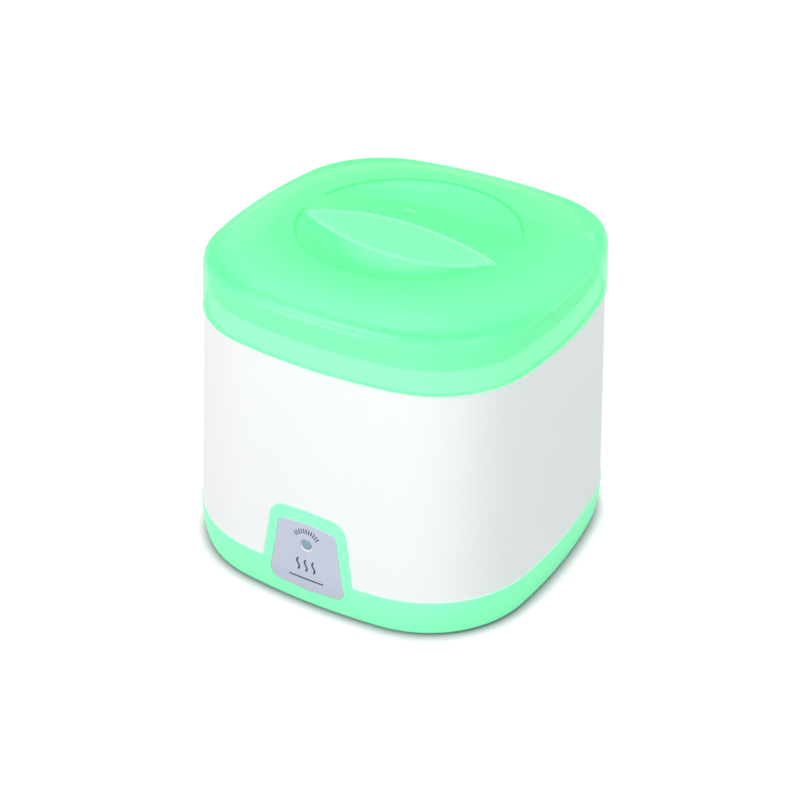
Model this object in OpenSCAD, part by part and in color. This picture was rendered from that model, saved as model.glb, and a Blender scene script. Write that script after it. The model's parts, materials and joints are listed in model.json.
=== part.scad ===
// Yogurt maker: a heated body that holds a fermentation cup with its own lid, under an outer lid.
// All sizes are in millimetres. +Z is up and the front, with the badge, faces -Y.
// The origin is the centre of the face that the rubber feet rest on.

/* [Plan outline] */
// Half-width of the base at its widest, on the seam with the outer shell
seam_hw = 87.2; // [84:0.1:92]
// How much narrower the base is on each side at its lower edge than at the seam
base_draft = 1.9; // [1:0.1:4]
// How much narrower the outer shell is on each side under the lid than the base at the seam
shell_draft = 5.8; // [4:0.1:8]
// How far the base and the front tab stand proud of the outer shell
base_proud = 0.4; // [0.2:0.1:1]
// Radius of the gentle bow of each side at the seam
seam_bow = 293; // [200:1:500]
// Radius of the vertical corners at the seam
seam_corner = 56; // [50:1:62]
// Radius of the gentle bow of each side at the lid
lid_bow = 231; // [180:1:400]
// Radius of the vertical corners at the lid
lid_corner = 49; // [44:1:56]

/* [Heights] */
// Height of the seam between base and outer shell
seam_z = 19.7; // [18:0.1:22]
// Height of the lid's lower edge
lid_z = 122.4; // [119:0.1:124]
// Height of the top deck, which the lid's skirt hides
deck_z = 132.2; // [130:0.1:133]
// Height of the lid's rim
rim_z = 147.8; // [145:0.1:149]
// Height of the plateau around the finger recess
plateau_z = 154; // [153:0.1:156]
// Height of the grip at its middle
grip_z = 161; // [159:0.1:164]

/* [Walls] */
// Wall of the outer shell
shell_wall = 2.4; // [1.8:0.1:3]
// Wall of the base
base_wall = 2.4; // [1.8:0.1:3]
// Wall of the outer lid
lid_wall = 2.2; // [1.6:0.1:2.6]
// Wall of the well
well_wall = 1.6; // [1.2:0.1:2]
// Wall of the cup
cup_wall = 1.8; // [1.4:0.1:2.4]
// Thickness of the cup's flange
cup_flange_t = 2; // [1.6:0.1:2.4]
// Wall of the cup's lid
cup_lid_wall = 1.6; // [1.2:0.1:1.8]

/* [Lid grip] */
// Radius of the finger recess
recess_r = 50; // [46:0.5:54]
// Depth of the finger recess at its middle
recess_depth = 10.6; // [8:0.1:11]
// Width of the grip at the bottom of the recess
grip_w = 24; // [22:0.5:30]
// Width of the grip along its top
grip_top_w = 18.6; // [16:0.1:20]
// Half-length of the grip where it meets the plateau
grip_reach = 47.6; // [42:0.1:49]

/* [Well and cup] */
// Distance from the shell's face under the lid to the well's inner wall
well_margin = 15.4; // [15:0.1:17]
// Gap between the well and the cup
cup_gap = 4; // [3:0.5:10]
// Reach of the well's flange from the well's inner wall
well_flange_w = 5; // [4:0.1:5.5]
// Distance from the rim of the well's flange to the rim of the cup's flange
cup_flange_step = 1.5; // [1:0.1:2]
// Height of the heating plate's upper face
plate_z = 32; // [31:0.1:34]
// Gap between the well and the heating plate
plate_gap = 6; // [4:0.5:9]
// Thickness of the heating plate
plate_t = 1.5; // [1:0.1:2]
// Height of the cup lid's handle
handle_h = 10; // [6:0.5:12]
// Length of the cup lid's handle
handle_len = 46; // [30:1:60]

/* [Front badge and lamp] */
// Half-width of the front tab at the seam
tab_foot_hw = 23.7; // [22:0.1:27]
// Half-width of the front tab at its top
tab_top_hw = 18.9; // [18:0.1:21]
// Height of the front tab's top edge
tab_z = 52.2; // [50.5:0.1:55]
// Wall of the front tab
tab_wall = 3.6; // [3.2:0.1:4]
// Half-width of the badge near its foot
badge_foot_hw = 20; // [18:0.1:20.5]
// Half-width of the badge near its top
badge_top_hw = 14.6; // [13:0.1:15.5]
// Lowest and highest points of the badge
badge_z = [9.4, 45.8]; // [7:0.1:46]
// Thickness of the badge
badge_t = 0.8; // [0.6:0.1:1]
// Height of the lamp window
lamp_z = 34.2; // [33:0.1:36]
// Radius of the lamp window
lamp_r = 3; // [2.5:0.1:3.5]

/* [Power inlet] */
// Height of the inlet's centre
inlet_z = 35; // [34:0.1:40]
// Radius of each contact pin
pin_r = 1.18; // [1.1:0.01:1.25]
// Distance between the two contact pins
pin_pitch = 8.6; // [8.4:0.1:8.8]
// Width and height of the socket's mouth
socket_size = [15.8, 8.8]; // [8:0.1:17]
// Depth of the socket
socket_depth = 12.2; // [10:0.1:12.5]

/* [Feet and fasteners] */
// Height of the feet under the base
foot_stand = 1; // [0.8:0.1:2]
// Radius of a rubber foot
foot_r = 8; // [6:0.5:9]
// Distance from each foot's centre to the sides of the base's lower edge
foot_margin = 27.3; // [25:0.1:32]
// Distance from the well's inner wall to the circle of the base screws
screw_margin = 10; // [9:0.1:11]
// Angle of each base screw from the X axis
screw_angle = 33; // [31:1:36]
// Radius of a base screw's thread
screw_r = 1.5; // [1.3:0.05:1.7]
// Radius of the studs under the heating plate
stud_r = 1.5; // [1.3:0.05:1.6]

/* [Fits] */
// Gap around a part that drops or slides into another
slide_gap = 0.5; // [0.3:0.05:0.8]
// Gap around a part that is fixed in another
fixed_gap = 0.3; // [0.2:0.05:0.4]
// Gap around a screw or stud in its hole
screw_gap = 0.2; // [0.1:0.05:0.3]

/* [Hidden] */
$fn = 96;

// Colours
mint = [0.60, 1.0, 0.76];
clear_mint = [0.51, 1.0, 0.70, 0.85];
white = [0.97, 0.98, 0.98];
milk = [0.93, 0.94, 0.92];
steel = [0.72, 0.73, 0.75];
rubber = [0.75, 0.78, 0.77];

// Lofts: points around each outline, and how far they crowd towards the corners
ring_n = 64;
ring_crowd = 5;

// Half-widths of the base at its lower edge and of the outer shell under the lid
base_foot_hw = seam_hw - base_draft;
shell_top_hw = seam_hw - shell_draft;
// Outer shell
shell_seam_hw = seam_hw - base_proud;
deck_t = 2.4;
collar_gap = slide_gap;
// Lid outline: lower edge, inner lower edge and the collar that it slides over
lid_flare = 0.8;
lid_hw = shell_top_hw + lid_flare;
collar_hw = lid_hw - lid_wall - collar_gap - 0.2;
// Base
floor_z = foot_stand + base_wall;
tongue_hw = shell_seam_hw - shell_wall - fixed_gap;
tongue_t = 1.8;
tongue_h = 3.5;
// Back of the front tab, and the rib around the pocket in it
tab_back_y = -(tongue_hw - tongue_t - 1.4);
tab_rib = 2.2;
// Screw wells of the base and the shell's bosses above them
boss_foot_z = 15;
boss_r = 4.2;
boss_bore_depth = 16;
well_tube_r = 5.4;
screw_head_r = 3.2;
screw_head_t = 2.4;
screw_seat_z = 12.6;
screw_len = 13;
screw_circle_r = shell_top_hw - well_margin + screw_margin;
// Places of the rubber feet, and the stem of each
foot_at = base_foot_hw - foot_margin;
foot_stem_r = 3;
// Well, plate and gasket
well_r = shell_top_hw - well_margin;
well_flange_r = well_r + well_flange_w;
plate_r = well_r - plate_gap;
gasket_t = 1.2;
lip_t = 1.8;
lip_r = plate_r - 8;
stud_circle_r = plate_r - 2 * stud_r;
lip_top_z = plate_z - plate_t - gasket_t;
lip_foot_z = lip_top_z - lip_t;
plate_foot_z = plate_z - plate_t;
well_flange_t = 1.6;
well_top_z = deck_z + well_flange_t;
// Cup, its lid and the seal between them
cup_r = well_r - cup_gap;
cup_flange_r = well_flange_r - cup_flange_step;
cup_flange_z = well_top_z + fixed_gap;
cup_top_z = cup_flange_z + cup_flange_t;
seal_t = 1.2;
cup_lid_z = cup_top_z + seal_t;
cup_lid_top_z = cup_lid_z + cup_lid_wall;
cup_lid_r = cup_flange_r + slide_gap + cup_lid_wall;
plug_r = cup_r - cup_wall - slide_gap;
plug_h = 4;
handle_w = 9;
// Outer lid
lid_shoulder_z = lid_z + 15;
recess_ball_r = (recess_r * recess_r + recess_depth * recess_depth) / (2 * recess_depth);
recess_floor_z = plateau_z - recess_depth;
recess_ball_z = recess_floor_z + recess_ball_r;
grip_rise = grip_z - plateau_z;
grip_arch_r = (grip_reach * grip_reach + grip_rise * grip_rise) / (2 * grip_rise);
grip_arch_z = grip_z - grip_arch_r;
// Heater and what hangs under the plate
heater_r = 18;
heater_t = 5.2;
heater_foot_z = plate_foot_z - heater_t;
heater_blade_x = 7;
strap_t = 1;
strap_hw = 6;
strap_studs = heater_r + strap_hw;
strap_foot_z = heater_foot_z - strap_t;
nut_r = 3.2;
nut_t = 2.4;
stud_spare = 1.2;
pad_r = [plate_r / 2, lip_r - 1];
pad_t = 5;
thermostat_y = lip_r - 16;
thermostat_r = 8.2;
thermostat_studs = 12;
thermostat_cap_t = 2.6;
bracket_t = 0.8;
bracket_foot_z = plate_foot_z - thermostat_cap_t - bracket_t;
thermostat_foot_z = 18.5;
thermostat_blade_x = 4.5;
blade_t = 0.8;
fuse_y = 15 - lip_r;
fuse_r = 2;
fuse_len = 11;
sleeve_t = 0.7;
sleeve_len = 24;
fuse_z = plate_foot_z - fuse_r - sleeve_t - fixed_gap;
fuse_clip_t = 0.7;
clip_foot_z = fuse_z - fuse_clip_t / 2;
fuse_clip_w = 7;
fuse_stud_y = fuse_y + 8;
// Lamp behind the badge
tab_slope = (shell_seam_hw - shell_top_hw) / (lid_z - seam_z);
window_face_y = -tab_hw_at(lamp_z);
window_back_y = window_face_y + tab_wall;
window_flange_t = 1.4;
board_t = 1.6;
board_size = [27, 22];
board_y = window_back_y + 5.6;
board_screw_x = 10;
board_screw_z = lamp_z + 7;
lamp_body_r = 2.5;
lamp_body_len = 3.4;
// Inlet in the rear wall
shell_rear_y = shell_hw_at(inlet_z);
inlet_flange_t = 1.6;
inlet_flange = [24, 15];
inlet_body = [19.6, 12];
inlet_back_t = 2.6;
inlet_seat_y = shell_rear_y - inlet_flange_t;
inlet_mouth_y = shell_rear_y;
socket_floor_y = inlet_mouth_y - socket_depth;
inlet_back_y = socket_floor_y - inlet_back_t;
pin_len = 9.2;
// Each pin is thicker where the inlet's floor holds it
pin_root_r = pin_r + 0.3;
terminal_z = inlet_z - 12;
// Wires
wire_r = 1;
wire_sides = 8;
wire_floor_z = floor_z + 5;

// Half-width of the outer shell at height z
function shell_hw_at(z) = shell_seam_hw - tab_slope * (z - seam_z);
// Half-width of the front tab's face at height z
function tab_hw_at(z) = shell_hw_at(z) + base_proud;
function mix(a, b, t) = a + (b - a) * t;
function unit(v) = v / norm(v);

// An outline is [half-width, side bow radius, corner radius]; a circle has all three equal.
seam_plan = [seam_hw, seam_bow, seam_corner];
lid_plan = [lid_hw, lid_bow, lid_corner];
function inset(plan, d) = [plan[0] - d, plan[1] - d, plan[2] - d];
function at_hw(plan, hw) = inset(plan, plan[0] - hw);
function round_plan(r) = [r, r, r];
function mix_plan(a, b, t) = [mix(a[0], b[0], t), mix(a[1], b[1], t), mix(a[2], b[2], t)];
// Outline of the outer shell at height z
function shell_plan(z) =
    mix_plan(at_hw(seam_plan, shell_seam_hw), at_hw(lid_plan, shell_top_hw), (z - seam_z) / (lid_z - seam_z));

// Distance of a corner arc's centre from both side planes
function corner_at(plan) =
    let (c = plan[0] - plan[1], k = plan[1] - plan[2]) (c + sqrt(max(2 * k * k - c * c, 0))) / 2;
// Distance from the axis to the outline in direction a
function reach(a, plan) =
    let (f = 45 - abs(a - 90 * floor(a / 90) - 45),
         c = plan[0] - plan[1],
         u = corner_at(plan),
         turn = atan2(u, u - c),
         meet = atan2(plan[1] * sin(turn), c + plan[1] * cos(turn)))
    f <= meet
        ? c * cos(f) + sqrt(plan[1] * plan[1] - pow(c * sin(f), 2))
        : u * (cos(f) + sin(f)) + sqrt(plan[2] * plan[2] - u * u * (1 - sin(2 * f)));
function ring_angle(i) = let (t = i * 360 / ring_n) t + ring_crowd * sin(4 * t);
function ring_points(plan, z) =
    [for (i = [0 : ring_n - 1]) let (a = ring_angle(i), r = reach(a, plan)) [r * cos(a), r * sin(a), z]];

// Skin over a list of [outline, height]; with closed = true the last outline joins the first.
module loft(sections, closed = false) {
    count = len(sections);
    spans = closed ? count : count - 1;
    sides = [for (j = [0 : spans - 1], i = [0 : ring_n - 1])
        let (low = j * ring_n, high = ((j + 1) % count) * ring_n, next = (i + 1) % ring_n)
        each [[low + i, high + i, high + next], [low + i, high + next, low + next]]];
    caps = closed ? [] : [
        [for (i = [0 : ring_n - 1]) i],
        [for (i = [ring_n - 1 : -1 : 0]) (count - 1) * ring_n + i]];
    polyhedron([for (s = sections) each ring_points(s[0], s[1])], concat(sides, caps), convexity = 6);
}

// Points of the arc that rounds corner b between a and c
function corner_arc(a, b, c, r, steps) =
    let (to_a = unit(a - b), to_c = unit(c - b),
         half = acos(to_a * to_c) / 2,
         centre = b + unit(to_a + to_c) * r / sin(half),
         start = b + to_a * r / tan(half) - centre,
         stop = b + to_c * r / tan(half) - centre,
         a0 = atan2(start[1], start[0]),
         turn = atan2(start[0] * stop[1] - start[1] * stop[0], start * stop))
    [for (i = [0 : steps]) centre + r * [cos(a0 + turn * i / steps), sin(a0 + turn * i / steps)]];
// Polygon points with each corner rounded by its own radius
function rounded(points, radii, steps = 8) =
    [for (i = [0 : len(points) - 1]) let (n = len(points))
        each radii[i] == 0 ? [points[i]]
            : corner_arc(points[(i + n - 1) % n], points[i], points[(i + 1) % n], radii[i], steps)];

// Prism of an outline in the XZ plane, from y0 to y1
module prism_y(points, y0, y1) {
    translate([0, y1, 0]) rotate([90, 0, 0]) linear_extrude(y1 - y0) polygon(points);
}
// Cylinder along Y from y0 to y1
module rod_y(x, z, r, y0, y1, faces = 48) {
    translate([x, y1, z]) rotate([90, 0, 0]) cylinder(r = r, h = y1 - y0, $fn = faces);
}
// Upright tube or rod from z0 to z1
module rod_z(x, y, r, z0, z1, faces = 48) {
    translate([x, y, z0]) cylinder(r = r, h = z1 - z0, $fn = faces);
}
module block(low, high) {
    translate(low) cube(high - low);
}
module at_base_screws() {
    for (a = [screw_angle, 180 - screw_angle, 180 + screw_angle, -screw_angle])
        translate([screw_circle_r * cos(a), screw_circle_r * sin(a), 0]) children();
}

// Front tab: outline grown by g on all sides but the foot
function tab_outline(g) = rounded([
        [-tab_foot_hw - g, seam_z - 2], [-tab_top_hw - g, tab_z - 1.2 + g], [0, tab_z + g],
        [tab_top_hw + g, tab_z - 1.2 + g], [tab_foot_hw + g, seam_z - 2]],
    [0, 9, 60, 9, 0]);
function badge_outline(g) = rounded([
        [-badge_foot_hw - g, badge_z[0] + 1 - g], [-badge_top_hw - g, badge_z[1] - 1.6 + g],
        [0, badge_z[1] + g], [badge_top_hw + g, badge_z[1] - 1.6 + g],
        [badge_foot_hw + g, badge_z[0] + 1 - g], [0, badge_z[0] - g]],
    [5, 4, 40, 4, 5, 60]);
// Rows of the front face of base and tab: [height, how far the row lies inside the face]
face_rows = [for (z = [badge_z[0] - 3, 11, seam_z - 0.6, seam_z + 8, lamp_z, tab_z + 2]) [z, 0]];
// The tab's own rows start inside the base's wall and come out on the seam
tab_rows = [[seam_z - 3, 0.6], [seam_z - 0.4, 0.6], [seam_z, 0], [lamp_z, 0], [tab_z + 2, 0]];
function face_plan(z) =
    z < seam_z - 0.6 ? base_plan(z) : mix_plan(seam_plan, lid_plan, 0.55 * (z - seam_z) / (lid_z - seam_z));
function face_at(z, d) =
    at_hw(face_plan(z), (z < seam_z - 0.6 ? base_plan(z)[0] : tab_hw_at(max(z, seam_z))) - d);
// Outline of the base at height z, bowing out from its foot to the seam
function base_plan(z) =
    let (t = (z - foot_stand) / (seam_z - foot_stand)) at_hw(seam_plan, mix(base_foot_hw, seam_hw, t * (2 - t)));
// Part of the front face between depths d0 and d1 under it
module face_skin(rows, d0, d1, points) {
    count = len(rows);
    intersection() {
        loft(concat([for (row = rows) [face_at(row[0], d0 + row[1]), row[0]]],
            [for (i = [count - 1 : -1 : 0]) [face_at(rows[i][0], d1), rows[i][0]]]), true);
        prism_y(points, -seam_hw - 5, -seam_hw / 2);
    }
}

// White outer shell with its deck, collar, screw bosses and the seat of the inlet
module outer_shell() color(white) {
    edge = 0.6;
    collar_plan = at_hw(lid_plan, collar_hw);
    inner_top_z = deck_z - deck_t;
    difference() {
        union() {
            loft([
                [shell_plan(seam_z), seam_z], [shell_plan(mix(seam_z, lid_z, 0.5)), mix(seam_z, lid_z, 0.5)],
                [shell_plan(lid_z - edge), lid_z - edge], [inset(shell_plan(lid_z), edge), lid_z],
                [collar_plan, lid_z], [inset(collar_plan, 0.1), deck_z - edge],
                [inset(collar_plan, edge), deck_z], [round_plan(well_r + well_wall + slide_gap), deck_z],
                [round_plan(well_r + well_wall + slide_gap), inner_top_z],
                [inset(collar_plan, shell_wall), inner_top_z], [inset(collar_plan, shell_wall), lid_z],
                [inset(shell_plan(lid_z - shell_wall), shell_wall), lid_z - 2 * shell_wall],
                [inset(shell_plan(seam_z), shell_wall), seam_z]], true);
            at_base_screws() difference() {
                rod_z(0, 0, boss_r, boss_foot_z, inner_top_z + 1);
                rod_z(0, 0, screw_r + screw_gap / 4, boss_foot_z - 1, boss_foot_z + boss_bore_depth);
            }
            block([-14, inlet_seat_y - 3.2, inlet_z - 9.5], [14, inlet_seat_y + 0.3, inlet_z + 9.5]);
        }
        prism_y(tab_outline(fixed_gap), -seam_hw - 5, -seam_hw / 2);
        inlet_block(inlet_flange, inlet_seat_y, seam_hw + 5, fixed_gap);
        inlet_block(inlet_body, seam_hw / 2, seam_hw, fixed_gap);
    }
}

// Rectangle on the inlet's axis, from y0 to y1, grown by g
module inlet_block(size, y0, y1, g = 0) {
    block([-size[0] / 2 - g, y0, inlet_z - size[1] / 2 - g], [size[0] / 2 + g, y1, inlet_z + size[1] / 2 + g]);
}

// Solid of the tab: curved face, flat back behind the tongue, and a pocket that leaves its wall
module front_tab() {
    difference() {
        intersection() {
            loft([for (row = tab_rows) [face_at(row[0], row[1]), row[0]]]);
            prism_y(tab_outline(0), -seam_hw - 5, tab_back_y);
        }
        block([-tab_top_hw + tab_rib, window_back_y, seam_z + tongue_h + tab_rib],
            [tab_top_hw - tab_rib, tab_back_y + 1, tab_z - 4]);
    }
}
// Mint base: tray, tongue, front tab, screw wells, foot holes, vents and the bosses of the lamp board
module base_cover() color(mint) {
    inner_hw = tongue_hw - tongue_t;
    difference() {
        union() {
            loft([
                [inset(base_plan(foot_stand), 1.6), foot_stand],
                [inset(base_plan(foot_stand), 0.5), foot_stand + 0.4],
                [base_plan(foot_stand + 1.4), foot_stand + 1.4], [base_plan(10), 10],
                [base_plan(seam_z - 0.5), seam_z - 0.5], [inset(seam_plan, 0.5), seam_z],
                [at_hw(seam_plan, tongue_hw), seam_z], [at_hw(seam_plan, tongue_hw), seam_z + tongue_h],
                [at_hw(seam_plan, inner_hw), seam_z + tongue_h], [at_hw(seam_plan, inner_hw), seam_z - 4],
                [inset(base_plan(foot_stand), base_wall + 1), floor_z + 2],
                [inset(base_plan(foot_stand), base_wall + 3.2), floor_z]]);
            front_tab();
            at_base_screws() rod_z(0, 0, well_tube_r, floor_z - 1, boss_foot_z);
            for (x = [-board_screw_x, board_screw_x])
                rod_y(x, board_screw_z, 2.6, window_back_y - 0.8, board_y);
        }
        face_skin(face_rows, -2, badge_t - 0.1, badge_outline(fixed_gap / 2));
        rod_y(0, lamp_z, lamp_r + fixed_gap / 2, -seam_hw - 2, -seam_hw / 2);
        for (x = [-board_screw_x, board_screw_x])
            rod_y(x, board_screw_z, 1.1 + screw_gap / 4, board_y - 5.2, board_y + 1);
        at_base_screws() {
            rod_z(0, 0, screw_head_r + 0.5, 0, screw_seat_z);
            rod_z(0, 0, screw_r + screw_gap, 0, boss_foot_z + 1);
        }
        at_feet() rod_z(0, 0, foot_stem_r + fixed_gap / 2, 0, floor_z + 1);
        for (x = [-32 : 8 : 32])
            block([x - 1.2, -15, 0], [x + 1.2, 15, floor_z + 1]);
    }
}

module at_feet() {
    for (x = [-foot_at, foot_at], y = [-foot_at, foot_at]) translate([x, y, 0]) children();
}
// Rubber foot: a pad under the base with a stem that grips the hole in its floor
module rubber_foot(x, y) color(rubber) {
    translate([x, y, 0]) rotate_extrude() polygon([
        [0, 0], [foot_r - 0.6, 0], [foot_r, 0.6], [foot_r - 0.3, foot_stand], [foot_stem_r, foot_stand],
        [foot_stem_r, floor_z], [foot_stem_r + 0.8, floor_z], [foot_stem_r - 0.6, floor_z + 2.2],
        [0, floor_z + 2.2]]);
}
module rubber_foot_front_left() rubber_foot(-foot_at, -foot_at);
module rubber_foot_front_right() rubber_foot(foot_at, -foot_at);
module rubber_foot_rear_left() rubber_foot(-foot_at, foot_at);
module rubber_foot_rear_right() rubber_foot(foot_at, foot_at);

// Pan-head screw along Z with its head at the bottom and a cross slot
module screw(r, head_r, head_t, length) {
    difference() {
        union() {
            cylinder(r = r, h = length, $fn = 32);
            translate([0, 0, -head_t]) cylinder(r = head_r, h = head_t, $fn = 32);
        }
        for (a = [0, 90]) rotate(a) block([-head_r * 0.6, -0.4, -head_t - 1], [head_r * 0.6, 0.4, -head_t * 0.5]);
    }
}
module base_screws() color(steel) {
    at_base_screws() translate([0, 0, screw_seat_z]) screw(screw_r, screw_head_r, screw_head_t, screw_len);
}

// Badge, let into the front of base and tab, with a hole for the lamp window
module badge_plate() color([0.78, 0.77, 0.84]) {
    difference() {
        face_skin(face_rows, -0.1, badge_t - 0.1, badge_outline(0));
        rod_y(0, lamp_z, lamp_r + fixed_gap / 2, -seam_hw - 2, -seam_hw / 2);
    }
}
// Lamp window: a light pipe with a flange behind the tab
module lamp_window() color([0.6, 0.7, 0.75]) {
    rod_y(0, lamp_z, lamp_r, window_face_y, window_back_y + fixed_gap);
    rod_y(0, lamp_z, lamp_r + 1.6, window_back_y + fixed_gap, window_back_y + fixed_gap + window_flange_t);
}
module lamp_board() color([0.25, 0.5, 0.3]) {
    difference() {
        block([-board_size[0] / 2, board_y, lamp_z - 11], [board_size[0] / 2, board_y + board_t, lamp_z + 11]);
        for (x = [-board_screw_x, board_screw_x])
            rod_y(x, board_screw_z, 1.1 + screw_gap, board_y - 1, board_y + board_t + 1);
    }
}
module indicator_lamp() color([0.9, 0.5, 0.3]) {
    translate([0, board_y, lamp_z]) rotate([90, 0, 0]) rotate_extrude() polygon([
        [0, 0], [lamp_body_r + 0.4, 0], [lamp_body_r + 0.4, 0.8], [lamp_body_r, 0.8],
        [lamp_body_r, lamp_body_len - 1], [lamp_body_r * 0.7, lamp_body_len - 0.3], [0, lamp_body_len]]);
}
module lamp_resistor() color([0.85, 0.75, 0.55]) {
    z = lamp_z - 4;
    y = board_y + board_t + 1.3;
    translate([-3.5, y, z]) rotate([0, 90, 0]) cylinder(r = 1.2, h = 7, $fn = 32);
    for (s = [-1, 1]) {
        translate([s * 4.6 - 1.4, y, z]) rotate([0, 90, 0]) cylinder(r = 0.35, h = 2.8, $fn = 24);
        rod_y(s * 5.8, z, 0.35, board_y + board_t, y + 0.3, 24);
    }
}
module lamp_board_screws() color(steel) {
    for (x = [-board_screw_x, board_screw_x])
        translate([x, board_y + board_t, board_screw_z]) rotate([90, 0, 0]) screw(1.1, 2.2, 1.5, board_t + 4.6);
}

// Well that the cup stands in, snapped into the deck's opening by four hooks
module inner_well() color(white) {
    outer_r = well_r + well_wall;
    hook_z = deck_z - deck_t - 0.2;
    difference() {
        union() {
            rotate_extrude() polygon([
                [well_r, lip_top_z], [well_r, well_top_z - 0.6], [well_r + 0.6, well_top_z],
                [well_flange_r - 0.5, well_top_z], [well_flange_r, well_top_z - 0.5], [well_flange_r, deck_z],
                [outer_r, deck_z], [outer_r, lip_foot_z], [lip_r, lip_foot_z], [lip_r, lip_top_z]]);
            for (a = [0 : 90 : 270])
                rotate(a - 5) rotate_extrude(angle = 10) polygon([
                    [outer_r - 0.4, hook_z], [outer_r + slide_gap + 1.2, hook_z], [outer_r - 0.4, hook_z - 4]]);
        }
        at_plate_studs() rod_z(0, 0, stud_r + screw_gap, lip_foot_z - 1, lip_top_z + 1);
    }
}
module at_plate_studs() {
    for (a = [90, 210, 330]) translate([stud_circle_r * cos(a), stud_circle_r * sin(a), 0]) children();
}
// Stud places under the plate: heater strap, thermostat bracket and fuse clip
module at_strap_studs() {
    for (x = [-strap_studs, strap_studs]) translate([x, 0, 0]) children();
}
module at_bracket_studs() {
    for (x = [-thermostat_studs, thermostat_studs]) translate([x, thermostat_y, 0]) children();
}
module at_clip_stud() {
    translate([0, fuse_stud_y, 0]) children();
}
module heating_plate() color([0.82, 0.83, 0.84]) {
    rod_z(0, 0, plate_r, plate_foot_z, plate_z, 96);
    at_plate_studs() rod_z(0, 0, stud_r, lip_foot_z - nut_t - stud_spare, plate_foot_z + 0.5);
    at_strap_studs() rod_z(0, 0, stud_r, strap_foot_z - nut_t - stud_spare, plate_foot_z + 0.5);
    at_bracket_studs() rod_z(0, 0, stud_r, bracket_foot_z - nut_t - stud_spare, plate_foot_z + 0.5);
    at_clip_stud() rod_z(0, 0, stud_r, clip_foot_z - nut_t - stud_spare, plate_foot_z + 0.5);
}
module plate_gasket() color([0.85, 0.4, 0.3]) {
    difference() {
        rod_z(0, 0, plate_r, lip_top_z, plate_foot_z, 96);
        rod_z(0, 0, lip_r + 1, lip_top_z - 1, plate_foot_z + 1, 96);
        at_plate_studs() rod_z(0, 0, stud_r + screw_gap, lip_top_z - 1, plate_foot_z + 1);
    }
}
module nut(top_z) {
    difference() {
        rod_z(0, 0, nut_r, top_z - nut_t, top_z, 6);
        rod_z(0, 0, stud_r + screw_gap / 4, top_z - nut_t - 1, top_z + 1);
    }
}
module stud_nuts() color(steel) {
    at_plate_studs() nut(lip_foot_z);
    at_strap_studs() nut(strap_foot_z);
    at_bracket_studs() nut(bracket_foot_z);
    at_clip_stud() nut(clip_foot_z);
}
// Heating element in its round case, with a blade on each side of its lead end
module ptc_heater() color([0.8, 0.8, 0.82]) {
    rod_z(0, 0, heater_r, heater_foot_z, plate_foot_z, 96);
    for (x = [-heater_blade_x, heater_blade_x])
        block([x - 2, -heater_r - 5, heater_foot_z + 2], [x + 2, -heater_r + 3, heater_foot_z + 2.8]);
}
module heater_strap() color(steel) {
    difference() {
        union() {
            block([-strap_studs, -strap_hw, strap_foot_z], [strap_studs, strap_hw, heater_foot_z]);
            at_strap_studs() rod_z(0, 0, strap_hw, strap_foot_z, heater_foot_z);
        }
        at_strap_studs() rod_z(0, 0, stud_r + screw_gap, strap_foot_z - 1, heater_foot_z + 1);
    }
}
// Felt ring against the plate, cut out around the thermostat and the fuse
module insulation_pad() color([0.9, 0.88, 0.8]) {
    difference() {
        rod_z(0, 0, pad_r[1], plate_foot_z - pad_t, plate_foot_z, 96);
        rod_z(0, 0, pad_r[0], plate_foot_z - pad_t - 1, plate_foot_z + 1, 96);
        block([-18, thermostat_y - 16, plate_foot_z - pad_t - 1], [18, thermostat_y + 10, plate_foot_z + 1]);
        block([-22, fuse_y - 5, plate_foot_z - pad_t - 1], [22, fuse_y + 17, plate_foot_z + 1]);
    }
}
module thermostat() color([0.35, 0.3, 0.25]) {
    rod_z(0, thermostat_y, thermostat_r, plate_foot_z - thermostat_cap_t, plate_foot_z);
    rod_z(0, thermostat_y, thermostat_r - 0.8, thermostat_foot_z, plate_foot_z - thermostat_cap_t);
    for (x = [-thermostat_blade_x, thermostat_blade_x])
        block([x - blade_t / 2, thermostat_y - 3, thermostat_foot_z - 6.5],
            [x + blade_t / 2, thermostat_y + 3, thermostat_foot_z + 1]);
}
module thermostat_bracket() color(steel) {
    difference() {
        union() {
            block([-thermostat_studs, thermostat_y - 5, bracket_foot_z],
                [thermostat_studs, thermostat_y + 5, bracket_foot_z + bracket_t]);
            rod_z(0, thermostat_y, thermostat_r + 0.6, bracket_foot_z, bracket_foot_z + bracket_t);
            at_bracket_studs() rod_z(0, 0, 5, bracket_foot_z, bracket_foot_z + bracket_t);
        }
        rod_z(0, thermostat_y, thermostat_r - 0.8 + screw_gap, bracket_foot_z - 1, bracket_foot_z + 2);
        at_bracket_studs() rod_z(0, 0, stud_r + screw_gap, bracket_foot_z - 1, bracket_foot_z + 2);
    }
}
module rod_x(y, z, r, x0, x1, faces = 48) {
    translate([x0, y, z]) rotate([0, 90, 0]) cylinder(r = r, h = x1 - x0, $fn = faces);
}
module thermal_fuse() color([0.85, 0.85, 0.8]) {
    rod_x(fuse_y, fuse_z, fuse_r, -fuse_len / 2, fuse_len / 2);
    rod_x(fuse_y, fuse_z, 0.5, -sleeve_len / 2 - 3, sleeve_len / 2 + 3, 24);
}
module fuse_sleeve() color([0.92, 0.9, 0.8]) {
    difference() {
        rod_x(fuse_y, fuse_z, fuse_r + sleeve_t, -sleeve_len / 2, sleeve_len / 2);
        rod_x(fuse_y, fuse_z, fuse_r + 0.05, -sleeve_len / 2 - 1, sleeve_len / 2 + 1);
    }
}
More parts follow.
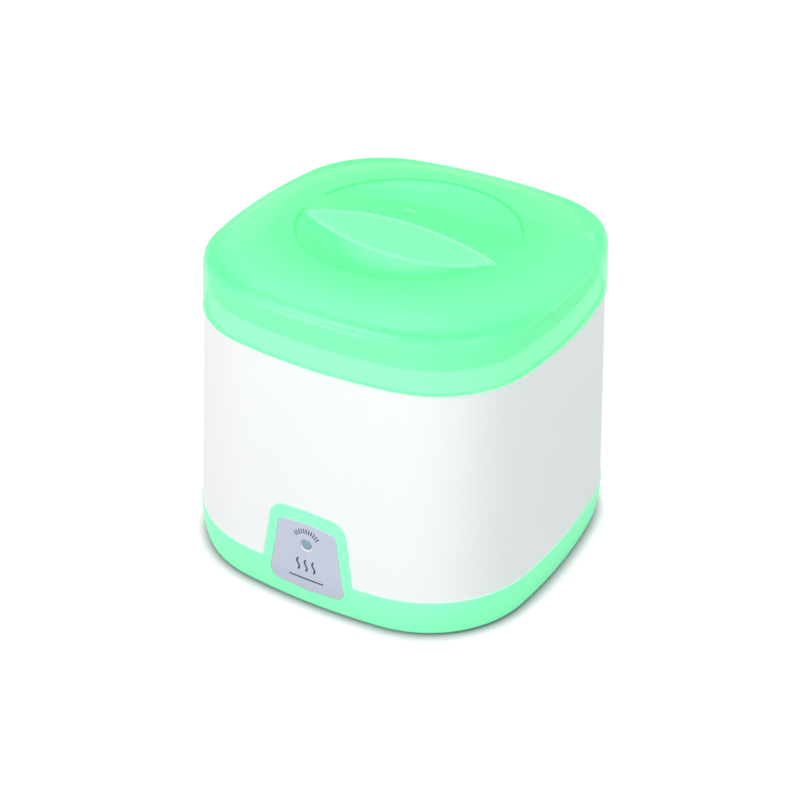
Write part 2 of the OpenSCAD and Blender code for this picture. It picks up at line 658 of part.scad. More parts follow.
// Clip that holds the fuse up against the plate, with a foot under a stud's nut
module fuse_clip() color(steel) {
    inner_r = fuse_r + sleeve_t + 0.05;
    difference() {
        union() {
            rod_x(fuse_y, fuse_z, inner_r + fuse_clip_t, -fuse_clip_w / 2, fuse_clip_w / 2);
            block([-fuse_clip_w / 2, fuse_y, clip_foot_z],
                [fuse_clip_w / 2, fuse_stud_y + 4, clip_foot_z + fuse_clip_t]);
        }
        rod_x(fuse_y, fuse_z, inner_r, -fuse_clip_w, fuse_clip_w);
        block([-fuse_clip_w, fuse_y - 6, clip_foot_z + fuse_clip_t], [fuse_clip_w, fuse_stud_y + 5, plate_z]);
        at_clip_stud() rod_z(0, 0, stud_r + screw_gap, clip_foot_z - 1, clip_foot_z + 2);
    }
}

// Mouth of the socket: two round lobes around the pins, joined by a straight waist
function socket_lobe_r() = socket_size[1] / 2;
module power_inlet() color([0.15, 0.15, 0.16]) {
    lobe_x = (socket_size[0] - socket_size[1]) / 2;
    difference() {
        union() {
            inlet_block(inlet_flange, inlet_seat_y, inlet_mouth_y);
            inlet_block(inlet_body, inlet_back_y, inlet_seat_y + 0.5);
            // Latches that grip behind the pad in the shell's wall
            for (s = [-1, 1])
                block([s * inlet_body[0] / 2 - 0.5, inlet_seat_y - 5.6, inlet_z - 2.5],
                    [s * inlet_body[0] / 2 + 0.5, inlet_seat_y - 3.5, inlet_z + 2.5]);
        }
        for (s = [-1, 1]) rod_y(s * lobe_x, inlet_z, socket_lobe_r(), socket_floor_y, inlet_mouth_y + 1);
        block([-lobe_x, socket_floor_y, inlet_z - socket_lobe_r() + 0.6],
            [lobe_x, inlet_mouth_y + 1, inlet_z + socket_lobe_r() - 0.6]);
        for (s = [-1, 1]) rod_y(s * pin_pitch / 2, inlet_z, pin_root_r, inlet_back_y - 1, socket_floor_y + 1);
    }
}
module inlet_pins() color([0.85, 0.8, 0.6]) {
    for (s = [-1, 1]) {
        rod_y(s * pin_pitch / 2, inlet_z, pin_r, inlet_back_y, socket_floor_y + pin_len);
        rod_y(s * pin_pitch / 2, inlet_z, pin_root_r, inlet_back_y - 1, socket_floor_y);
        block([s * pin_pitch / 2 - 1.5, inlet_back_y - 1, terminal_z],
            [s * pin_pitch / 2 + 1.5, inlet_back_y - 0.2, inlet_z]);
    }
}

// Wires: a round tube swept along a smooth curve through chosen points
function curve_point(p, i, t) =
    let (n = len(p) - 1, a = p[max(i - 1, 0)], b = p[i], c = p[i + 1], d = p[min(i + 2, n)])
    0.5 * (2 * b + (c - a) * t + (2 * a - 5 * b + 4 * c - d) * t * t + (3 * b - a - 3 * c + d) * t * t * t);
function curve(p, steps) =
    concat([for (i = [0 : len(p) - 2], k = [0 : steps - 1]) curve_point(p, i, k / steps)], [p[len(p) - 1]]);
function heading(p, i) = unit(p[min(i + 1, len(p) - 1)] - p[max(i - 1, 0)]);
module wire(points, across, tint) {
    path = curve(points, 3);
    count = len(path);
    rings = [for (i = [0 : count - 1])
        let (d = heading(path, i), s = unit(cross(d, across)), t = cross(d, s))
        each [for (k = [0 : wire_sides - 1])
            let (a = k * 360 / wire_sides) path[i] + wire_r * (cos(a) * s + sin(a) * t)]];
    sides = [for (i = [0 : count - 2], k = [0 : wire_sides - 1])
        let (low = i * wire_sides, high = low + wire_sides, next = (k + 1) % wire_sides)
        each [[low + k, high + k, high + next], [low + k, high + next, low + next]]];
    caps = [[for (k = [0 : wire_sides - 1]) k],
        [for (k = [wire_sides - 1 : -1 : 0]) (count - 1) * wire_sides + k]];
    color(tint) polyhedron(rings, concat(sides, caps));
}
module live_wire() {
    x = -pin_pitch / 2;
    y = inlet_back_y - 0.6;
    blade_x = -thermostat_blade_x;
    wire([[x, y, terminal_z + 3], [x, y, terminal_z - 5], [x, y - 6, wire_floor_z + 2],
        [x - 1, lip_r + 4, wire_floor_z], [blade_x, thermostat_y + 8, wire_floor_z],
        [blade_x, thermostat_y + 1, thermostat_foot_z - 6.5],
        [blade_x, thermostat_y + 0.5, thermostat_foot_z - 3]], [1, 0, 0], [0.55, 0.3, 0.15]);
}
module heater_link_wire() {
    wire([[thermostat_blade_x, thermostat_y - 0.5, thermostat_foot_z - 3],
        [thermostat_blade_x, thermostat_y - 1, thermostat_foot_z - 6.5],
        [heater_blade_x + 1, heater_r + 6, wire_floor_z], [heater_r - 4, 0, wire_floor_z],
        [heater_blade_x + 3, -heater_r - 4, wire_floor_z + 3], [heater_blade_x, -heater_r - 8, heater_foot_z - 3],
        [heater_blade_x, -heater_r - 3, heater_foot_z + 2]], [1, 0.2, 0], [0.8, 0.3, 0.25]);
}
module fuse_link_wire() {
    wire([[-heater_blade_x, -heater_r - 3, heater_foot_z + 2], [-heater_blade_x, -heater_r - 8, heater_foot_z - 4],
        [-sleeve_len / 2, fuse_y + 5, wire_floor_z + 3], [-sleeve_len / 2 - 7, fuse_y, fuse_z - 6],
        [-sleeve_len / 2 - 2.2, fuse_y, fuse_z]], [0.3, 1, 0], [0.8, 0.3, 0.25]);
}
module neutral_wire() {
    x = pin_pitch / 2;
    y = inlet_back_y - 0.6;
    wire([[x, y, terminal_z + 3], [x, y, terminal_z - 5], [x + 1, y - 5, wire_floor_z + 2],
        [heater_r, lip_r, wire_floor_z], [strap_studs + 10, heater_r + 6, wire_floor_z],
        [2 * heater_r, -8, wire_floor_z], [strap_studs + 2, fuse_y + 7, wire_floor_z + 1],
        [sleeve_len / 2 + 7, fuse_y, fuse_z - 6], [sleeve_len / 2 + 2.2, fuse_y, fuse_z]],
        [1, 0.3, 0.1], [0.25, 0.4, 0.75]);
}
module lamp_wire(s, points, tint) {
    top = [s * (board_screw_x - 1), board_y + board_t + 0.9, lamp_z - 8];
    wire(concat([top, top - [0, 0, 8], top + [0, 4, -15]], points), [1, 0, 0.1], tint);
}
module lamp_live_wire() {
    lamp_wire(-1, [[-board_screw_x, -lip_r - 6, wire_floor_z], [-8, fuse_y - 3, wire_floor_z],
        [-heater_blade_x + 3, -heater_r - 9, wire_floor_z + 2],
        [-heater_blade_x - 0.4, -heater_r - 5.5, heater_foot_z + 0.4]], [0.55, 0.3, 0.15]);
}
module lamp_neutral_wire() {
    x = sleeve_len / 2 + 2.4;
    lamp_wire(1, [[board_screw_x + 1, -lip_r - 8, wire_floor_z], [x - 1.4, -lip_r + 2, wire_floor_z + 2],
        [x, fuse_y - 6, fuse_z - 7], [x, fuse_y - 1.4, fuse_z - 0.6]], [0.25, 0.4, 0.75]);
}

// Cup for the milk, with a flange that hangs just over the well's flange
module inner_cup() color(milk) {
    inner_r = cup_r - cup_wall;
    rotate_extrude() polygon(concat(
        [[0, plate_z], [cup_r - 5, plate_z]],
        [for (a = [-80 : 20 : 0]) [cup_r - 5 + 5 * cos(a), plate_z + 5 + 5 * sin(a)]],
        [[cup_r, cup_flange_z], [cup_flange_r, cup_flange_z], [cup_flange_r, cup_top_z], [inner_r, cup_top_z]],
        [for (a = [0 : -20 : -80]) [inner_r - 4 + 4 * cos(a), plate_z + cup_wall + 4 + 4 * sin(a)]],
        [[inner_r - 4, plate_z + cup_wall], [0, plate_z + cup_wall]]));
}
// Lid of the cup: a disc with a skirt outside, a centring ring inside and a bar handle
module cup_lid() color(milk) {
    rotate_extrude() polygon([
        [0, cup_lid_z], [plug_r - 2, cup_lid_z], [plug_r - 2, cup_top_z - plug_h], [plug_r, cup_top_z - plug_h],
        [plug_r, cup_lid_z], [cup_lid_r - cup_lid_wall, cup_lid_z], [cup_lid_r - cup_lid_wall, cup_flange_z + 0.6],
        [cup_lid_r, cup_flange_z + 0.6], [cup_lid_r, cup_lid_top_z - 1.2], [cup_lid_r - 1.2, cup_lid_top_z],
        [0, cup_lid_top_z]]);
    end_x = handle_len / 2 - handle_w / 2;
    block([-end_x, -handle_w / 2, cup_lid_top_z - 0.5], [end_x, handle_w / 2, cup_lid_top_z + handle_h]);
    for (x = [-end_x, end_x]) rod_z(x, 0, handle_w / 2, cup_lid_top_z - 0.5, cup_lid_top_z + handle_h);
}
module cup_lid_seal() color([0.95, 0.95, 0.93]) {
    seal_r = [plug_r + fixed_gap, cup_flange_r - 2];
    difference() {
        rod_z(0, 0, seal_r[1], cup_top_z, cup_lid_z, 96);
        rod_z(0, 0, seal_r[0], cup_top_z - 1, cup_lid_z + 1, 96);
    }
}

// Grip bar: an arch along X whose sides lean in towards its top, with every face moved in by d
module grip_bar(d, foot_z) {
    lean = (grip_w - grip_top_w) / 2 / (grip_z - recess_floor_z);
    foot_hw = grip_w / 2 + lean * (recess_floor_z - foot_z) - d;
    top_hw = grip_top_w / 2 - d;
    intersection() {
        translate([0, grip_w, grip_arch_z]) rotate([90, 0, 0])
            cylinder(r = grip_arch_r - d, h = 2 * grip_w, $fn = 192);
        translate([-grip_reach + d, 0, 0]) rotate([90, 0, 90]) linear_extrude(2 * (grip_reach - d))
            polygon([[-foot_hw, foot_z], [foot_hw, foot_z], [top_hw, grip_z], [-top_hw, grip_z]]);
    }
}
// Lid over everything: skirt, rim, crowned top, round recess and a hollow grip across it
module outer_lid() color(clear_mint) {
    rim_plan = at_hw(lid_plan, lid_hw - 1.5);
    top_r = recess_r + 1.5;
    top_plan = round_plan(top_r);
    crown = plateau_z - rim_z;
    inner_rim = inset(lid_plan, lid_wall + 0.2);
    difference() {
        union() {
            difference() {
                loft([
                    [lid_plan, lid_z], [inset(lid_plan, 0.2), lid_z + 2], [inset(lid_plan, 0.8), lid_shoulder_z],
                    [inset(lid_plan, 1.2), rim_z - 2.8], [inset(lid_plan, 1.7), rim_z - 1],
                    [inset(lid_plan, 2.6), rim_z], [inset(lid_plan, 3.6), rim_z - 0.6],
                    [mix_plan(rim_plan, top_plan, 0.16), rim_z - 0.2],
                    [mix_plan(rim_plan, top_plan, 0.3), rim_z + crown * 0.14],
                    [mix_plan(rim_plan, top_plan, 0.5), rim_z + crown * 0.42],
                    [mix_plan(rim_plan, top_plan, 0.75), rim_z + crown * 0.8], [top_plan, plateau_z]]);
                translate([0, 0, recess_ball_z]) sphere(r = recess_ball_r, $fn = 128);
            }
            grip_bar(0, recess_floor_z - 1);
        }
        difference() {
            loft([
                [inner_rim, lid_z - 1], [inset(inner_rim, 0.2), lid_shoulder_z],
                [inset(inner_rim, 1.2), rim_z - lid_wall - 0.8],
                [mix_plan(inner_rim, top_plan, 0.3), rim_z - lid_wall - 0.2],
                [mix_plan(inner_rim, top_plan, 0.5), rim_z - lid_wall + crown * 0.36],
                [round_plan(top_r - 0.5), plateau_z - lid_wall]]);
            translate([0, 0, recess_ball_z]) sphere(r = recess_ball_r + lid_wall, $fn = 128);
        }
        grip_bar(lid_wall, recess_floor_z - lid_wall - 3);
    }
}

outer_shell();
base_cover();
inner_well();
heating_plate();
plate_gasket();
stud_nuts();
ptc_heater();
heater_strap();
insulation_pad();
thermostat();
thermostat_bracket();
thermal_fuse();
fuse_sleeve();
fuse_clip();
base_screws();
rubber_foot_front_left();
rubber_foot_front_right();
rubber_foot_rear_left();
rubber_foot_rear_right();
badge_plate();
lamp_window();
lamp_board();
indicator_lamp();
lamp_resistor();
lamp_board_screws();
power_inlet();
inlet_pins();
live_wire();
heater_link_wire();
fuse_link_wire();
neutral_wire();
lamp_live_wire();
lamp_neutral_wire();
inner_cup();
cup_lid();
cup_lid_seal();
outer_lid();
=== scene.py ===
import json
import math

import bmesh
import bpy
from mathutils import Matrix, Vector


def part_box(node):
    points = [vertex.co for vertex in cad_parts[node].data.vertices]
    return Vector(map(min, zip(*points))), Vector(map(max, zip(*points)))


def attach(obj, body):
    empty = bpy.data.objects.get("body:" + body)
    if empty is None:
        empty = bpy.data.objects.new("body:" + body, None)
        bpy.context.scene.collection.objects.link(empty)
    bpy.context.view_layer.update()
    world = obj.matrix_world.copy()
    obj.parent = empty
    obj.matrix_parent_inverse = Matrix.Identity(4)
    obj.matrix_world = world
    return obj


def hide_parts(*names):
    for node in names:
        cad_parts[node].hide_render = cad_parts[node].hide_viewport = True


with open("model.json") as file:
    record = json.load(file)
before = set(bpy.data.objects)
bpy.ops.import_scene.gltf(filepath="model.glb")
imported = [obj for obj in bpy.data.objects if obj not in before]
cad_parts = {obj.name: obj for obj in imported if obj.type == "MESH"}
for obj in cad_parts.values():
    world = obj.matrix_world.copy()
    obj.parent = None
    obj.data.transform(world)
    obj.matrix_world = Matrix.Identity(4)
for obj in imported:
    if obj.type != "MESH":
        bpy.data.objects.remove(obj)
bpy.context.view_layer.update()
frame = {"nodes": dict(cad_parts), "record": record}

# Lengths below are in millimetres, in the frame's axes: +Z up, front towards -Y. Blender gets metres.
MM = 0.001

# Points nearer to each other than this are made one, in metres
WELD_M = 1e-7
# Edges sharper than this keep a hard line
SHARP_EDGE = math.radians(35)

# Plan outlines are (half-width, radius of each side's bow, corner radius); a circle has all three equal.
SEAM_HW = 87.2
BASE_DRAFT = 1.9
SHELL_DRAFT = 5.8
BASE_PROUD = 0.4
SEAM_PLAN = (SEAM_HW, 293.0, 56.0)
LID_FLARE = 0.8
LID_HW = SEAM_HW - SHELL_DRAFT + LID_FLARE
LID_PLAN = (LID_HW, 231.0, 49.0)
# The top of the lid's rim lies this far inside LID_PLAN, and the crown rises from CREASE_PLAN
RIM_INSET = 4.0
CREASE_PLAN = (LID_HW - 6.5, 201.0, 47.0)
SHELL_SEAM_HW = SEAM_HW - BASE_PROUD
SHELL_TOP_HW = SEAM_HW - SHELL_DRAFT
# How much of the change from the seam's outline to the lid's the front tab follows
TAB_FOLLOWS = 0.55

# Heights, and the fall from the rim to the crease
FOOT_Z = 1.0
SEAM_Z = 19.7
LID_Z = 122.4
DECK_Z = 132.2
RIM_Z = 147.8
RIM_DIP = 0.2
PLATEAU_Z = 154.0
GRIP_Z = 161.0

# Walls and gaps
SHELL_WALL = 2.4
BASE_WALL = 2.4
FLOOR_Z = FOOT_Z + BASE_WALL
LID_WALL = 2.2
SLIDE_GAP = 0.5
FIXED_GAP = 0.3
WELL_R = 66.0
WELL_WALL = 1.6
WELL_LIP_R = 52
WELL_LIP_T = 1.8
WELL_OPENING_R = WELL_R + WELL_WALL + SLIDE_GAP

# Finger recess and grip
RECESS_R = 50.0
RECESS_DEPTH = 10.6
RECESS_STEP = 0.7
RECESS_FLOOR_Z = PLATEAU_Z - RECESS_DEPTH
RECESS_BALL_R = (RECESS_R ** 2 + RECESS_DEPTH ** 2) / (2 * RECESS_DEPTH)
GRIP_W = 24.0
GRIP_TOP_W = 18.6
GRIP_REACH = 47.6
# The fillet at the grip's foot as (flare, lift)
GRIP_FOOT = ((1.5, -1.2), (0.9, 0.05), (0.4, 0.45), (0.1, 1.0), (0.0, 1.6))

# Front tab, badge and lamp window
TAB_FOOT_HW = 23.7
TAB_TOP_HW = 18.9
TAB_Z = 52.2
TAB_WALL = 3.6
BADGE_FOOT_HW = 20.0
BADGE_TOP_HW = 14.6
BADGE_Z = (9.4, 45.8)
BADGE_T = 0.8
LAMP_Z = 34.2
LAMP_R = 3.0
INSERT_GAP = 0.15
# Marks on the badge: ticks round the lamp, warmth waves and a rule
TICK_REACH = (6.2, 8.6)
WAVE_Z = 20.5
RULE_Z = 16.2

# Cup and its lid
CUP_R = 62.0
CUP_WALL = 1.8
CUP_FLANGE_T = 2
CUP_LID_WALL = 1.6
CUP_LID_SKIRT = 2.6
CUP_LID_DISH_R = 56
CUP_LID_DISH = 0.5
HANDLE_LEN = 46.0
HANDLE_W = 9.0

# Feet, base screws and vents
FEET = ("rubber_foot_front_left", "rubber_foot_front_right",
        "rubber_foot_rear_left", "rubber_foot_rear_right")
FOOT_HOLE_R = 3.15
SCREW_CIRCLE_R = 76.0
SCREW_ANGLE = 33.0
SCREW_HOLE_R = 3.7
VENT_REACH = 32
VENT_PITCH = 8
VENT_W = 2.4
VENT_LEN = 30

# Points around each outline, and how far they shift towards the corners
RING_N = 256
RING_CROWD = math.radians(5)

# Camera of the photograph: azimuth, elevation, roll, distance, lens and the point it looks at
CAMERA_AZIMUTH = math.radians(29.684)
CAMERA_ELEVATION = math.radians(32.282)
CAMERA_ROLL = math.radians(0.994)
CAMERA_DISTANCE = 779.0
CAMERA_LENS = 74.682
CAMERA_AIM_Z = 63.545
CAMERA_AIM_RIGHT = -2.556

# Colours, and the light that the floor and the studio give
WHITE = (0.86, 0.865, 0.87)
BASE_MINT = (0.32, 0.98, 0.56)
SKIRT_MINT = (0.27, 0.98, 0.54)
# Painted light and shade in the tint of the lid's top, by height: paler over the white cup lid, deep in the
# hollow grip
TOP_LIGHT_AND_SHADE = ((RECESS_FLOOR_Z, (0.4, 0.98, 0.64)), (RIM_Z, (0.21, 0.98, 0.44)),
             (PLATEAU_Z, (0.19, 0.98, 0.4)), (GRIP_Z, (0.18, 0.98, 0.38)))
# Painted light and shade that multiply that tint at distances from the axis: a pale ring, and darker towards
# the rim
RING_LIGHT_AND_SHADE = ((58, (0.9, 1, 0.94)), (66, (1.05, 1, 1.02)), (77, (1.05, 1, 1.02)),
              (LID_HW + 4, (0.68, 1, 0.82)))
# Painted shade: dark lines on the recess edge and on the grip's edges that face back
CREASE_SHADE_MINT = (0.06, 0.9, 0.2)
# Painted highlight on the grip's sloping edges
EDGE_HIGHLIGHT_MINT = (0.28, 0.98, 0.46)
# Painted light: a lighter mint for the grip's upright walls
GRIP_WALL_LIT_MINT = (0.26, 0.98, 0.44)
# Painted glow, an emission in place of light that the plastics pass on: its colours and strengths
GREEN_LIGHT = (0, 1, 0.3)
WARM_LIGHT = (1, 1, 0.85)
MINT_GLOW = 0.12
BASE_GLOW = 0.18
INSIDE_GLOW = 0.34
COLLAR_GLOW = 0.3
FLOOR_GREY = (0.32, 0.32, 0.32)
FLOOR_GLOW = 0.81
WORLD_LIGHT = 0.4
# Reach and colour of the painted contact shadow where the object stands on the floor, and the part of the
# ambient occlusion over which it fades
CONTACT_MM = 7
CONTACT_SHADOW_GREY = (0.0, 0.01, 0.04)
CONTACT_FADE = (0.35, 0.95)
# Half the side of the floor and the point that every light faces, in metres
FLOOR_HALF_M = 6.0
LIGHT_AIM_M = (0, 0, 0.08)

# Materials of the lid, in the order in which make_lid takes them
TOP, SKIRT, GRIP_WALL, INSIDE, CREASE, GRIP_EDGE = range(6)


# ---------------------------------------------------------------- outlines

def mix(a, b, t):
    """The value at share t of the way from a to b."""
    return a + (b - a) * t


def inset(plan, d):
    """An outline moved inwards by d."""
    return tuple(v - d for v in plan)


def at_hw(plan, hw):
    """An outline moved in or out to a half-width."""
    return inset(plan, plan[0] - hw)


def round_plan(r):
    """A circle as an outline."""
    return (r, r, r)


def mix_plan(a, b, t):
    """An outline between two others."""
    return tuple(mix(p, q, t) for p, q in zip(a, b))


def shell_hw_at(z):
    """Half-width of the white body at height z."""
    return SHELL_SEAM_HW - (SHELL_SEAM_HW - SHELL_TOP_HW) * (z - SEAM_Z) / (LID_Z - SEAM_Z)


def shell_plan(z):
    """Outline of the white body at height z."""
    t = (z - SEAM_Z) / (LID_Z - SEAM_Z)
    return mix_plan(at_hw(SEAM_PLAN, SHELL_SEAM_HW), at_hw(LID_PLAN, SHELL_TOP_HW), t)


def base_plan(z):
    """Outline of the base at height z, bowing out from its foot to the seam."""
    t = (z - FOOT_Z) / (SEAM_Z - FOOT_Z)
    return at_hw(SEAM_PLAN, SEAM_HW - BASE_DRAFT * (1 - t * (2 - t)))


def face_plan(z):
    """Outline of the front face of base and tab at height z."""
    if z < SEAM_Z:
        return base_plan(z)
    plan = mix_plan(SEAM_PLAN, LID_PLAN, TAB_FOLLOWS * (z - SEAM_Z) / (LID_Z - SEAM_Z))
    return at_hw(plan, shell_hw_at(z) + BASE_PROUD)


def reach(angle, plan):
    """Distance from the axis to the outline in a direction."""
    hw, bow, corner = plan
    fold = math.pi / 4 - abs(angle % (math.pi / 2) - math.pi / 4)
    c, k = hw - bow, bow - corner
    u = (c + math.sqrt(max(2 * k * k - c * c, 0))) / 2
    turn = math.atan2(u, u - c)
    meet = math.atan2(bow * math.sin(turn), c + bow * math.cos(turn))
    if fold <= meet:
        return c * math.cos(fold) + math.sqrt(bow * bow - (c * math.sin(fold)) ** 2)
    along = u * (math.cos(fold) + math.sin(fold))
    return along + math.sqrt(corner * corner - u * u * (1 - math.sin(2 * fold)))


def ring_angles():
    """Directions of the points around an outline."""
    turns = [i * 2 * math.pi / RING_N for i in range(RING_N)]
    return [t + RING_CROWD * math.sin(4 * t) for t in turns]


def ring(plan, z, angles):
    """Points of an outline at height z."""
    return [(reach(a, plan) * math.cos(a), reach(a, plan) * math.sin(a), z) for a in angles]


def smooth_rows(rows, steps):
    """Rows (inset, height) run through by a smooth curve, with the first and last kept."""
    out = []
    for i in range(len(rows) - 1):
        a, b, c, d = rows[max(i - 1, 0)], rows[i], rows[i + 1], rows[min(i + 2, len(rows) - 1)]
        for s in range(steps):
            t = s / steps
            out.append(tuple(
                0.5 * (2 * q + (r - p) * t + (2 * p - 5 * q + 4 * r - w) * t * t
                       + (3 * q - p - 3 * r + w) * t ** 3)
                for p, q, r, w in zip(a, b, c, d)))
    out.append(rows[-1])
    return out


def edge_arc(d, z, r, start, stop, steps=5):
    """Rows (inset, height) of a rounded edge about a centre, from one angle to another in degrees."""
    angles = [math.radians(mix(start, stop, i / steps)) for i in range(steps + 1)]
    return [(d - r * math.cos(a), z + r * math.sin(a)) for a in angles]


# ---------------------------------------------------------------- mesh tools

def new_piece(name, mesh, material, body, nodes=()):
    """Adds a finished mesh to the scene as a piece that rides on a body."""
    obj = bpy.data.objects.new(name, mesh)
    bpy.context.scene.collection.objects.link(obj)
    mesh.materials.append(material)
    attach(obj, body)
    if nodes:
        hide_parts(*nodes)
    return obj


def mesh_from(name, points, faces):
    """A mesh from points in millimetres, welded and with its faces turned outwards."""
    mesh = bpy.data.meshes.new(name)
    mesh.from_pydata([Vector(p) * MM for p in points], [], faces)
    bm = bmesh.new()
    bm.from_mesh(mesh)
    bmesh.ops.remove_doubles(bm, verts=bm.verts, dist=WELD_M)
    bmesh.ops.recalc_face_normals(bm, faces=bm.faces)
    bm.to_mesh(mesh)
    bm.free()
    return mesh


def loft(rings, closed=False):
    """Points and faces of a skin over rings of equal length. An open one gets a cap on both ends."""
    count, n = len(rings), len(rings[0])
    points = [p for r in rings for p in r]
    faces = []
    for j in range(count if closed else count - 1):
        low, high = j * n, (j + 1) % count * n
        for i in range(n):
            k = (i + 1) % n
            faces.append((low + i, low + k, high + k, high + i))
    if not closed:
        faces.append(tuple(range(n - 1, -1, -1)))
        faces.append(tuple(range((count - 1) * n, count * n)))
    return points, faces


def merge(*parts):
    """One list of points and faces from several."""
    points, faces = [], []
    for part_points, part_faces in parts:
        shift = len(points)
        points += part_points
        faces += [tuple(i + shift for i in face) for face in part_faces]
    return points, faces


def carve(mesh, cutter, operation="DIFFERENCE"):
    """The mesh after an exact boolean with a closed cutter mesh."""
    target = bpy.data.objects.new("carve_target", mesh)
    tool = bpy.data.objects.new("carve_tool", cutter)
    for obj in (target, tool):
        bpy.context.scene.collection.objects.link(obj)
    change = target.modifiers.new("cut", "BOOLEAN")
    change.operation = operation
    change.solver = "EXACT"
    change.object = tool
    bpy.context.view_layer.update()
    result = bpy.data.meshes.new_from_object(target.evaluated_get(bpy.context.evaluated_depsgraph_get()))
    for obj in (target, tool):
        bpy.data.objects.remove(obj)
    return result


def shade(obj):
    """Smooth shading with hard lines at sharp edges, weighted by face area."""
    mesh = obj.data
    mesh.polygons.foreach_set("use_smooth", [True] * len(mesh.polygons))
    bm = bmesh.new()
    bm.from_mesh(mesh)
    for edge in bm.edges:
        edge.smooth = len(edge.link_faces) == 2 and edge.calc_face_angle(0) < SHARP_EDGE
    bm.to_mesh(mesh)
    bm.free()
    weighted = obj.modifiers.new("face_weights", "WEIGHTED_NORMAL")
    weighted.keep_sharp = True


def box_mesh(low, high):
    """Points and faces of a box between two corners."""
    points = [(x, y, z) for x in (low[0], high[0]) for y in (low[1], high[1]) for z in (low[2], high[2])]
    faces = [(0, 1, 3, 2), (4, 6, 7, 5), (0, 4, 5, 1), (2, 3, 7, 6), (0, 2, 6, 4), (1, 5, 7, 3)]
    return points, faces


def in_mm(corners):
    """Corners that the frame gives in metres, in millimetres."""
    return [Vector(corner) / MM for corner in corners]


# ---------------------------------------------------------------- solids

def turned(profile, x=0.0, y=0.0, sides=128, closed=False):
    """A turned solid about a line along Z, from (radius, height) points; a closed profile makes a ring."""
    turns = [i * 2 * math.pi / sides for i in range(sides)]
    rings = [[(x + r * math.cos(t), y + r * math.sin(t), z) for t in turns] for r, z in profile]
    return loft(rings, closed)


def rod_y(x, z, r, y0, y1, sides=64):
    """A round bar along Y."""
    turns = [i * 2 * math.pi / sides for i in range(sides)]
    return loft([[(x + r * math.cos(t), y, z + r * math.sin(t)) for t in turns] for y in (y0, y1)])


def rounded(points, radii, steps=8):
    """A closed outline with each corner rounded to its own radius."""
    out = []
    for i, point in enumerate(points):
        corner = Vector(point)
        if radii[i] == 0:
            out.append(tuple(corner))
            continue
        back = (Vector(points[i - 1]) - corner).normalized()
        ahead = (Vector(points[(i + 1) % len(points)]) - corner).normalized()
        half = back.angle(ahead) / 2
        middle = corner + (back + ahead).normalized() * radii[i] / math.sin(half)
        touch = radii[i] / math.tan(half)
        start, stop = corner + back * touch - middle, corner + ahead * touch - middle
        first = math.atan2(start.y, start.x)
        sweep = (math.atan2(stop.y, stop.x) - first + math.pi) % (2 * math.pi) - math.pi
        for s in range(steps + 1):
            a = first + sweep * s / steps
            out.append((middle.x + radii[i] * math.cos(a), middle.y + radii[i] * math.sin(a)))
    return out


def resampled(outline, step=1.5):
    """The same closed outline with extra points along its long edges."""
    out = []
    for i, point in enumerate(outline):
        a, b = Vector(point), Vector(outline[(i + 1) % len(outline)])
        parts = max(1, math.ceil((b - a).length / step))
        out += [tuple(a.lerp(b, s / parts)) for s in range(parts)]
    return out


def shrink(outline, d):
    """A closed clockwise outline moved inwards by d."""
    out = []
    for i, point in enumerate(outline):
        along = (Vector(outline[(i + 1) % len(outline)]) - Vector(outline[i - 1])).normalized()
        out.append((point[0] + along.y * d, point[1] - along.x * d))
    return out


def stack(outline, rows):
    """A solid from rows (inset, height) of one level outline."""
    return loft([[(x, y, z) for x, y in shrink(outline, d)] for d, z in rows])


# ---------------------------------------------------------------- front face of base and tab

def face_y(x, z, depth=0.0):
    """Place along Y of the front face of base and tab, at a depth under it."""
    hw, bow, _ = inset(face_plan(z), depth)
    return bow - hw - math.sqrt(bow * bow - x * x)


def front_plate(outline, rows, foot_z=-1.0):
    """A plate that follows the front face; rows (inset, depth) run over its rim from back to front.

    Points of the outline at foot_z keep their height, so that the foot gets no rounded edge.
    """
    rings = []
    for d, depth in rows:
        moved = [(x, z0 if z0 <= foot_z else z) for (x, z), (_, z0) in zip(shrink(outline, d), outline)]
        rings.append([(x, face_y(x, z, depth), z) for x, z in moved])
    # Rings that close in on the middle let the plate follow the bow of the front
    centre_x = sum(x for x, _ in moved) / len(moved)
    centre_z = sum(z for _, z in moved) / len(moved)
    for keep in (0.97, 0.92, 0.85, 0.75, 0.62, 0.48, 0.34, 0.2, 0.08, 0.01):
        inner = [(mix(centre_x, x, keep), mix(centre_z, z, keep)) for x, z in moved]
        rings.append([(x, face_y(x, z, depth), z) for x, z in inner])
    return loft(rings)


def fillet(r, back, front=0.0, steps=4):
    """Rim rows (inset, depth) of a plate whose front edge is rounded."""
    turns = [math.radians(90 * i / steps) for i in range(steps + 1)]
    return [(0.0, back)] + [(r - r * math.cos(t), front + r - r * math.sin(t)) for t in turns]


def tab_outline():
    """Outline (x, z) of the tab, from a little under the seam over its two rounded shoulders."""
    foot_z, shoulder_z = SEAM_Z - 0.25, TAB_Z - 1.2
    corners = [(-TAB_FOOT_HW, foot_z), (-TAB_TOP_HW, shoulder_z), (0, TAB_Z), (TAB_TOP_HW, shoulder_z),
               (TAB_FOOT_HW, foot_z)]
    return resampled(rounded(corners, [0, 9, 60, 9, 0]))


def badge_outline(g=0.0):
    """Outline (x, z) of the badge, or of its pocket where it is g larger all round."""
    low, high = BADGE_Z
    foot_z, shoulder_z = low + 1 - g, high - 1.6 + g
    corners = [(-BADGE_FOOT_HW - g, foot_z), (-BADGE_TOP_HW - g, shoulder_z), (0, high + g),
               (BADGE_TOP_HW + g, shoulder_z), (BADGE_FOOT_HW + g, foot_z), (0, low - g)]
    return resampled(rounded(corners, [5, 4, 40, 4, 5, 60]))


